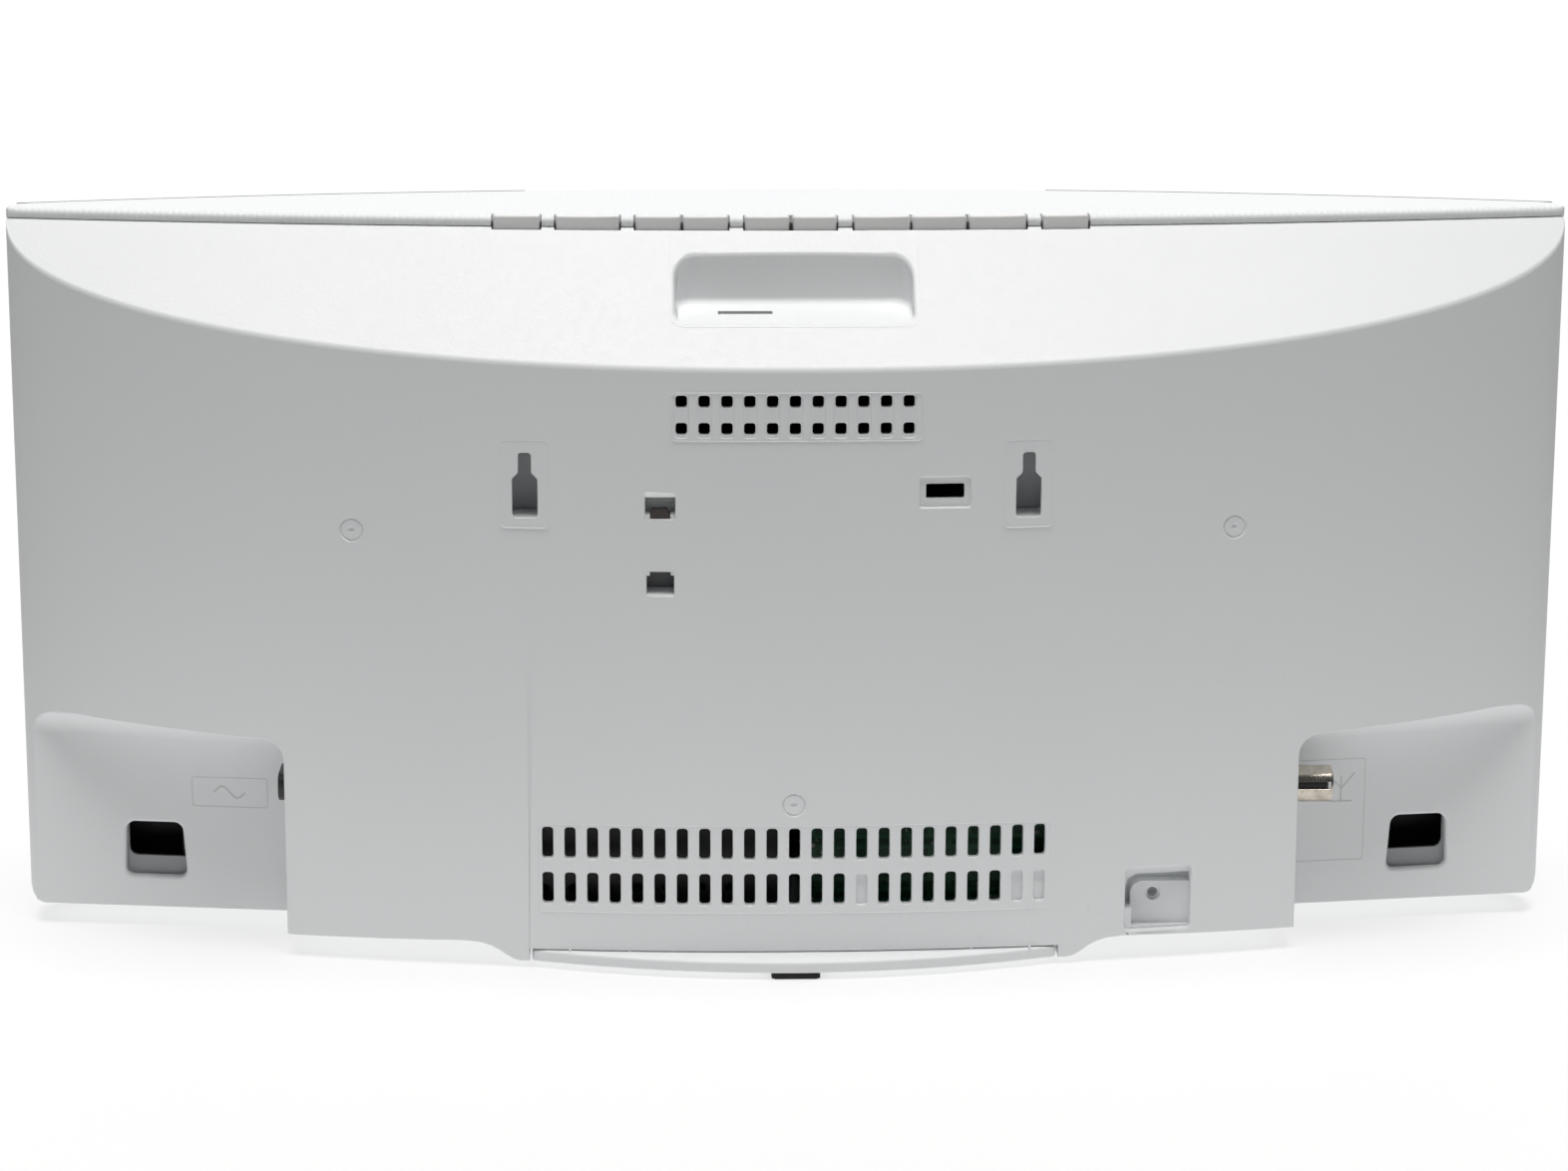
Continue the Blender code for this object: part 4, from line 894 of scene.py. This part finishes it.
def mark_edges(mesh):
    """Bevel weights on the long outside edges: recess mouths, the underside and the seam."""
    shape = bmesh.new()
    shape.from_mesh(mesh)
    layer = shape.edges.layers.float.new("bevel_weight_edge")
    for edge in shape.edges:
        if len(edge.link_faces) != 2 or edge.calc_face_angle(0) < math.radians(28):
            continue
        x, y, z = (edge.verts[0].co + edge.verts[1].co) / 2 / MM
        side = abs(x)
        weight = 0.0
        if y > rear_y(x) - 0.35 and z < 60 and side > 128.9:
            weight = 0.55
        elif y > rear_y(x) - 0.3 and z < 7.5 and side > 68.5:
            weight = 0.6
        elif -32 < x < 32 and 160 < z < 182 and abs(y - slope_y(x, z)) < 0.3:
            weight = 0.9
        edge[layer] = weight
    shape.to_mesh(mesh)
    shape.free()
    return mesh


def make_shell():
    skirt_end = box(-90, 90, -30, 18, -5, 5.0)
    steps = [("DIFFERENCE", under_cutter()), ("DIFFERENCE", skirt_end),
             ("DIFFERENCE", joined([wing_cutter(1), wing_cutter(-1)])), ("DIFFERENCE", cavity()),
             ("DIFFERENCE", handle_cutter()), ("DIFFERENCE", channel_cutters()),
             ("DIFFERENCE", shell_openings())]
    steps += [("DIFFERENCE", shape) for shape in second_openings()]
    steps += [("DIFFERENCE", screw_seat()), ("DIFFERENCE", notch_cutter())]
    mesh = bevelled(mark_edges(combined(shell_body(), steps)), 1.0, 3, weighted=True)
    piece("rear_shell", shaded(mesh, 40, outer_normal), SHELL, stands_for=("rear_cover",))


def make_top():
    """The top panel: a lens-shaped plate with a broadly rounded rear edge, notched for the keys."""
    xs = stations(HALF, 64)
    end = front_y(HALF)
    rings = []
    for level in (185.4, 186.4, *(186.4 + 1.6 * math.sin(math.radians(15 * i)) for i in range(1, 7))):
        rear_in = 1.6 - math.sqrt(max(2.56 - max(level - 186.4, 0) ** 2, 0))
        front_in = 0.5 - math.sqrt(max(0.25 - max(level - 187.5, 0) ** 2, 0))
        size = (HALF - front_in) / HALF
        ring = [(x * size, lip_y(x) - rear_in * (0.3 if abs(x) > 199 else 1), level) for x in xs]
        corner = [(HALF - front_in, end + 3.2), (HALF - front_in - 1.2, end + 0.6 + front_in)]
        ring += [(x, y, level) for x, y in corner]
        ring += [(x, front_y(x) + front_in, level) for x in reversed(xs[1:-1]) if abs(x) < HALF - 4]
        rings.append(ring + [(-x, y, level) for x, y in reversed(corner)])
    notches = []
    for x0, x1 in KEY_GROUPS_X:
        x0, x1 = x0 - KEY_GAP, x1 + KEY_GAP
        plan = [(x0, lip_y(x0) + 3), (x1, lip_y(x1) + 3)]
        plan += [(x, lip_y(x) - 4.6) for x in (x1, (x0 + x1) / 2, x0)]
        notches.append(prism(plan, 180, 195))
    plate = bevelled(combined(loft(rings), [("DIFFERENCE", joined(notches))]), 0.25, 2, 50)
    posts = [prism(circle(x, 1.5, 2, 20), 175.9, 186) for x in (-78, -26, 26, 78)]
    piece("top_lid", shaded(joined([plate, *posts]), 40), TOP, stands_for=("top_panel",))


def rounded_path(x0, x1, z0, z1, radius=1.0):
    return resampled(rounded(x0, x1, z0, z1, radius, 3), 2.5, closed=True)


def make_lines():
    """Raised mould lines, and the pictograms beside the two sockets; the socket pictograms and frames are
    coloured darker grey as painted shade for their relief.
    """
    shapes = []
    for x0, x1, z0, z1, height in ((-31.0, 30.9, 136.4, 148.4, 0.2), (-64.8, 64.8, 15.0, 37.9, 0.09)):
        shapes.append(strip(rounded_path(x0, x1, z0, z1), rear_y, 0.3, height, True))
    for x in KEYHOLES_X:
        shapes.append(strip(rounded_path(x - 6.0, x + 6.0, 114.1, 136.1, 1.1), rear_y, 0.28, 0.07, True))
        floor = rounded(x - 6.0, x + 6.0, 114.1, 136.1, 1.1, 3)[8:16]
        shapes.append(strip(resampled(floor, 2.5), rear_y, 0.36, 0.24))
    x = KEYHOLES_X[1]
    for path in ([(x - 0.9, 133.5), (x - 0.9, 134.6)], [(x + 0.9, 133.5), (x + 0.9, 134.6)]):
        shapes.append(strip(path, rear_y, 0.22, 0.1))
    hood = [(31.1, 183), (31.1, 166.2), (30.7, 164.6), (29.5, 163.7), (28, 163.4)]
    hood = resampled(hood + [(-x, z) for x, z in reversed(hood)], 3)
    shapes.append(strip(hood, slope_y, 0.3, 0.07))
    piece("mould_lines", shaded(joined(shapes), 50), SHELL)
    shapes = [strip(rounded_path(135.9, 155.6, 33.2, 41.0, 0.6), wing_y, 0.3, 0.07, True)]
    wave = [(149.8 - 8.0 * i / 24, 37.1 + 1.5 * math.sin(2 * math.pi * i / 24)) for i in range(25)]
    shapes.append(strip(wave, wing_y, 0.55, 0.12))
    shapes.append(strip(rounded_path(-151, -131.4, 17, 44.4, 0.6), wing_y, 0.3, 0.07, True))
    aerial = [[(-144.6, 33.0), (-144.6, 40.0)], [(-148.2, 40.6), (-144.6, 36.4), (-141.0, 40.6)],
              [(-147.6, 33.0), (-141.6, 33.0)]]
    shapes += [strip(path, wing_y, 0.5, 0.12) for path in aerial]
    # These raised marks are moulded white; their darker grey is painted shade standing in for the shading of
    # the relief.
    piece("socket_marks", shaded(joined(shapes), 50), MATERIALS["mark_painted_shade"])


def make_latches():
    """What shows inside the two latch holes, and the hood and sill at their edges."""
    y = rear_y(33.8)
    white = [box(29.6, 37.9, y - 4.6, y - 4.2, 115.5, 119.9),
             box(29.6, 37.9, y - 5.4, y - 5.0, 119.5, 123.6),
             box(29.6, 37.9, y - 5.2, y - 4.4, 119.6, 119.9)]
    hood = [(y - 2.5, 123.9), (y + 0.05, 123.5), (y + 0.5, 122.5), (y + 0.4, 122.3), (y - 2.5, 122.3)]
    sill = [(y - 0.3, 97.15), (y - 0.6, 97.5), (y - 5.0, 98.5), (y - 5.0, 96.4), (y - 0.3, 96.4)]
    upper_peg = [(y - 0.5, 116.6), (y - 0.5, 117.6), (y - 1.8, 118.3), (y - 1.8, 116.6)]
    lower_peg = [(y - 2.2, 102.4), (y - 0.05, 102.4), (y - 0.05, 103.5), (y - 2.2, 103.5)]
    white += [prism(hood, 30.0, 37.6, "X"), prism(sill, 30.2, 37.4, "X")]
    white += [prism(upper_peg, x, x + 1.3, "X") for x in (30.0, 36.3)]
    white += [prism(lower_peg, x, x + 1.0, "X") for x in (30.2, 36.4)]
    piece("latch_edges", shaded(bevelled(joined(white), 0.12)), WHITE)
    back = box(29.9, 37.7, y - 5.3, y - 4.9, 96.4, 104.2)
    piece("latch_back", shaded(bevelled(back, 0.1)), MATERIALS["latch_grey"])
    tab = [(31.25, 116.8), (36.35, 116.8), (36.35, 117.7), (36.1, 118.1),
           (35.9, 119.3), (32.0, 119.3), (31.6, 118.1), (31.25, 117.7)]
    catch = shaded(bevelled(prism(tab, y - 2.6, y - 0.7, "Y"), 0.2))
    piece("latch_tab", catch, MATERIALS["trim"])


def make_keyhole_backs():
    """Grey sheets laid over the white backs of the two screw pockets: painted shade for the darkness deep in
    the pockets.
    """
    shapes = []
    for x in KEYHOLES_X:
        back = float(inner_rear_y(x)) - POCKET_DEPTH
        shapes.append(box(x - 4.25, x + 4.25, back + 0.02, back + 0.5, 117.0, 134.7))
    piece("keyhole_back_shade", shaded(joined(shapes)), MATERIALS["pocket_painted_shade"])


def make_port_frames():
    """The mouths of the two ducts, behind the ports in the corner recesses."""
    shapes = []
    for side in (1, -1):
        near, far = side * 155, side * 172.9
        mouth = rounded(min(near, far), max(near, far), 18.7, 34, 2.2, 6)
        corners = ((156.2, 3.6), (176.2, 3.6), (176.2, 2.5), (156.2, 2.5))
        plan = [(side * x, wing_y(x) - depth) for x, depth in corners]
        plate = loft([[(x, y, z) for x, y in plan] for z in (11.5, 30.4)])
        shapes.append(combined(plate, [("DIFFERENCE", prism(mouth, -10, 12, "Y"))]))
    piece("port_frames", shaded(joined(shapes)), MATERIALS["grey_plastic"])


def make_key_gap_shade():
    """Dark strips in the gaps at both sides of each key: painted shade for the shadow in the gaps."""
    shapes = []
    for number in range(1, 11):
        low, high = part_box(f"key_{number:02d}")
        for x0, x1 in ((low[0] / MM - 0.26, low[0] / MM - 0.06), (high[0] / MM + 0.06, high[0] / MM + 0.26)):
            back = lip_y((x0 + x1) / 2) + 0.1
            shapes.append(box(x0, x1, back - 2.5, back, 183.2, 186.4))
    # The dark trim colour on these strips is painted shade in the key gaps, not a real part.
    piece("key_gap_shade", shaded(joined(shapes)), MATERIALS["trim"])


def make_trims():
    """The dark edge along the front of the top panel, the dark seam over the foot, and small marks
    on the foot."""
    shapes = []
    edge = ((0.1, 187.2), (0.1, 188.06), (0.7, 188.1), (0.8, 187.2))
    for side in (1, -1):
        xs = [side * (69 + 129.5 * i / 24) for i in range(25)]
        shapes.append(loft([[(x, front_y(x) + a, z) for a, z in edge] for x in xs]))
    seam = ((3, 4.72), (3, 4.97), (0.35, 4.97), (0.35, 4.72))
    xs = [-66.4 + 132.8 * i / 40 for i in range(41)]
    shapes.append(loft([[(x, rear_y(x) - a, z) for a, z in seam] for x in xs]))
    piece("dark_seams", shaded(joined(shapes)), MATERIALS["trim"])
    nubs = [box(x - 0.4, x + 0.4, 17.6, 18.6, 0.9, 1.9) for x in (-65.9, 65.9)]
    nubs += [box(x - 0.25, x + 0.25, 40, 44, 4.5, 5.3) for x in (57.0, 41.9, -44.9, -59.8)]
    piece("foot_marks", shaded(bevelled(joined(nubs), 0.12)), WHITE)


# ---------------------------------------------------------------- sockets

def make_jack():
    """Coaxial antenna socket: a slit nickel sleeve on a stepped neck."""
    y, z = JACK
    at = (-WING_WALL_X, y, z)
    end = WING_WALL_X - JACK_TIP_X
    profile = [(3.9, 0.6), (4.75, 0.4), (4.75, end + 0.5), (4.55, end + 0.12), (4.2, end), (4.0, end + 0.1),
               (3.9, end + 0.5), (3.9, -0.9)]
    sleeve = turned(profile, at, "X", 48)
    slit = box(-139.1, -128, y + 2, y + 6, z - 0.4, z + 1.5)
    other = box(-139.1, -128, y - 6, y - 2, z - 1.5, z + 0.4)
    mesh = combined(sleeve, [("DIFFERENCE", joined([slit, other]))])
    piece("antenna_sleeve", shaded(bevelled(mesh, 0.05, 1, 60)), MATERIALS["nickel"],
          stands_for=("antenna_jack",))
    core = turned([(0.01, 2), (3.85, 2), (3.85, -8.6), (2.4, -9.2), (1.5, -9.2), (0.01, -9.0)], at, "X", 32)
    ring = turned([(0.2, 12), (6.4, 12), (6.4, 2.8), (4.0, 2.8), (4.0, 0.7), (0.2, 0.7)], at, "X")
    piece("antenna_core", shaded(core), MATERIALS["dark_plastic"])
    piece("antenna_seat", shaded(bevelled(ring, 0.1)), MATERIALS["nickel"])


# ---------------------------------------------------------------- CAD nodes that stay

def finish_nodes():
    """Gives each CAD node that still shows its material and rounded edges."""
    slots = {s["node"]: s["material_slot"] for s in frame["record"]["subparts"]}
    widths = {"foot": 0.7, "sliding_door": 0.5, "front_cabinet": 0.4, "mains_inlet": 0.35,
              "grille_left": 0.3, "grille_right": 0.3, "door_rail_top": 0.3, "door_rail_bottom": 0.3}
    # The heat sink seen through the vents is given a near-black colour in place of its zinc steel slot.
    special = {"heat_sink": MATERIALS["heat_sink_darkened"]}
    for name, obj in frame["nodes"].items():
        if obj.hide_render:
            continue
        obj.data.materials.clear()
        obj.data.materials.append(special.get(name, MATERIALS[slots[name]]))
        width = 0.8 if name.startswith("key_") and name != "key_board" else widths.get(name, 0.15)
        soften(obj, width, 3 if width > 0.3 else 2)


make_camera()
make_stage()
make_shell()
make_top()
make_lines()
make_latches()
make_keyhole_backs()
make_port_frames()
make_key_gap_shade()
make_trims()
make_jack()
finish_nodes()
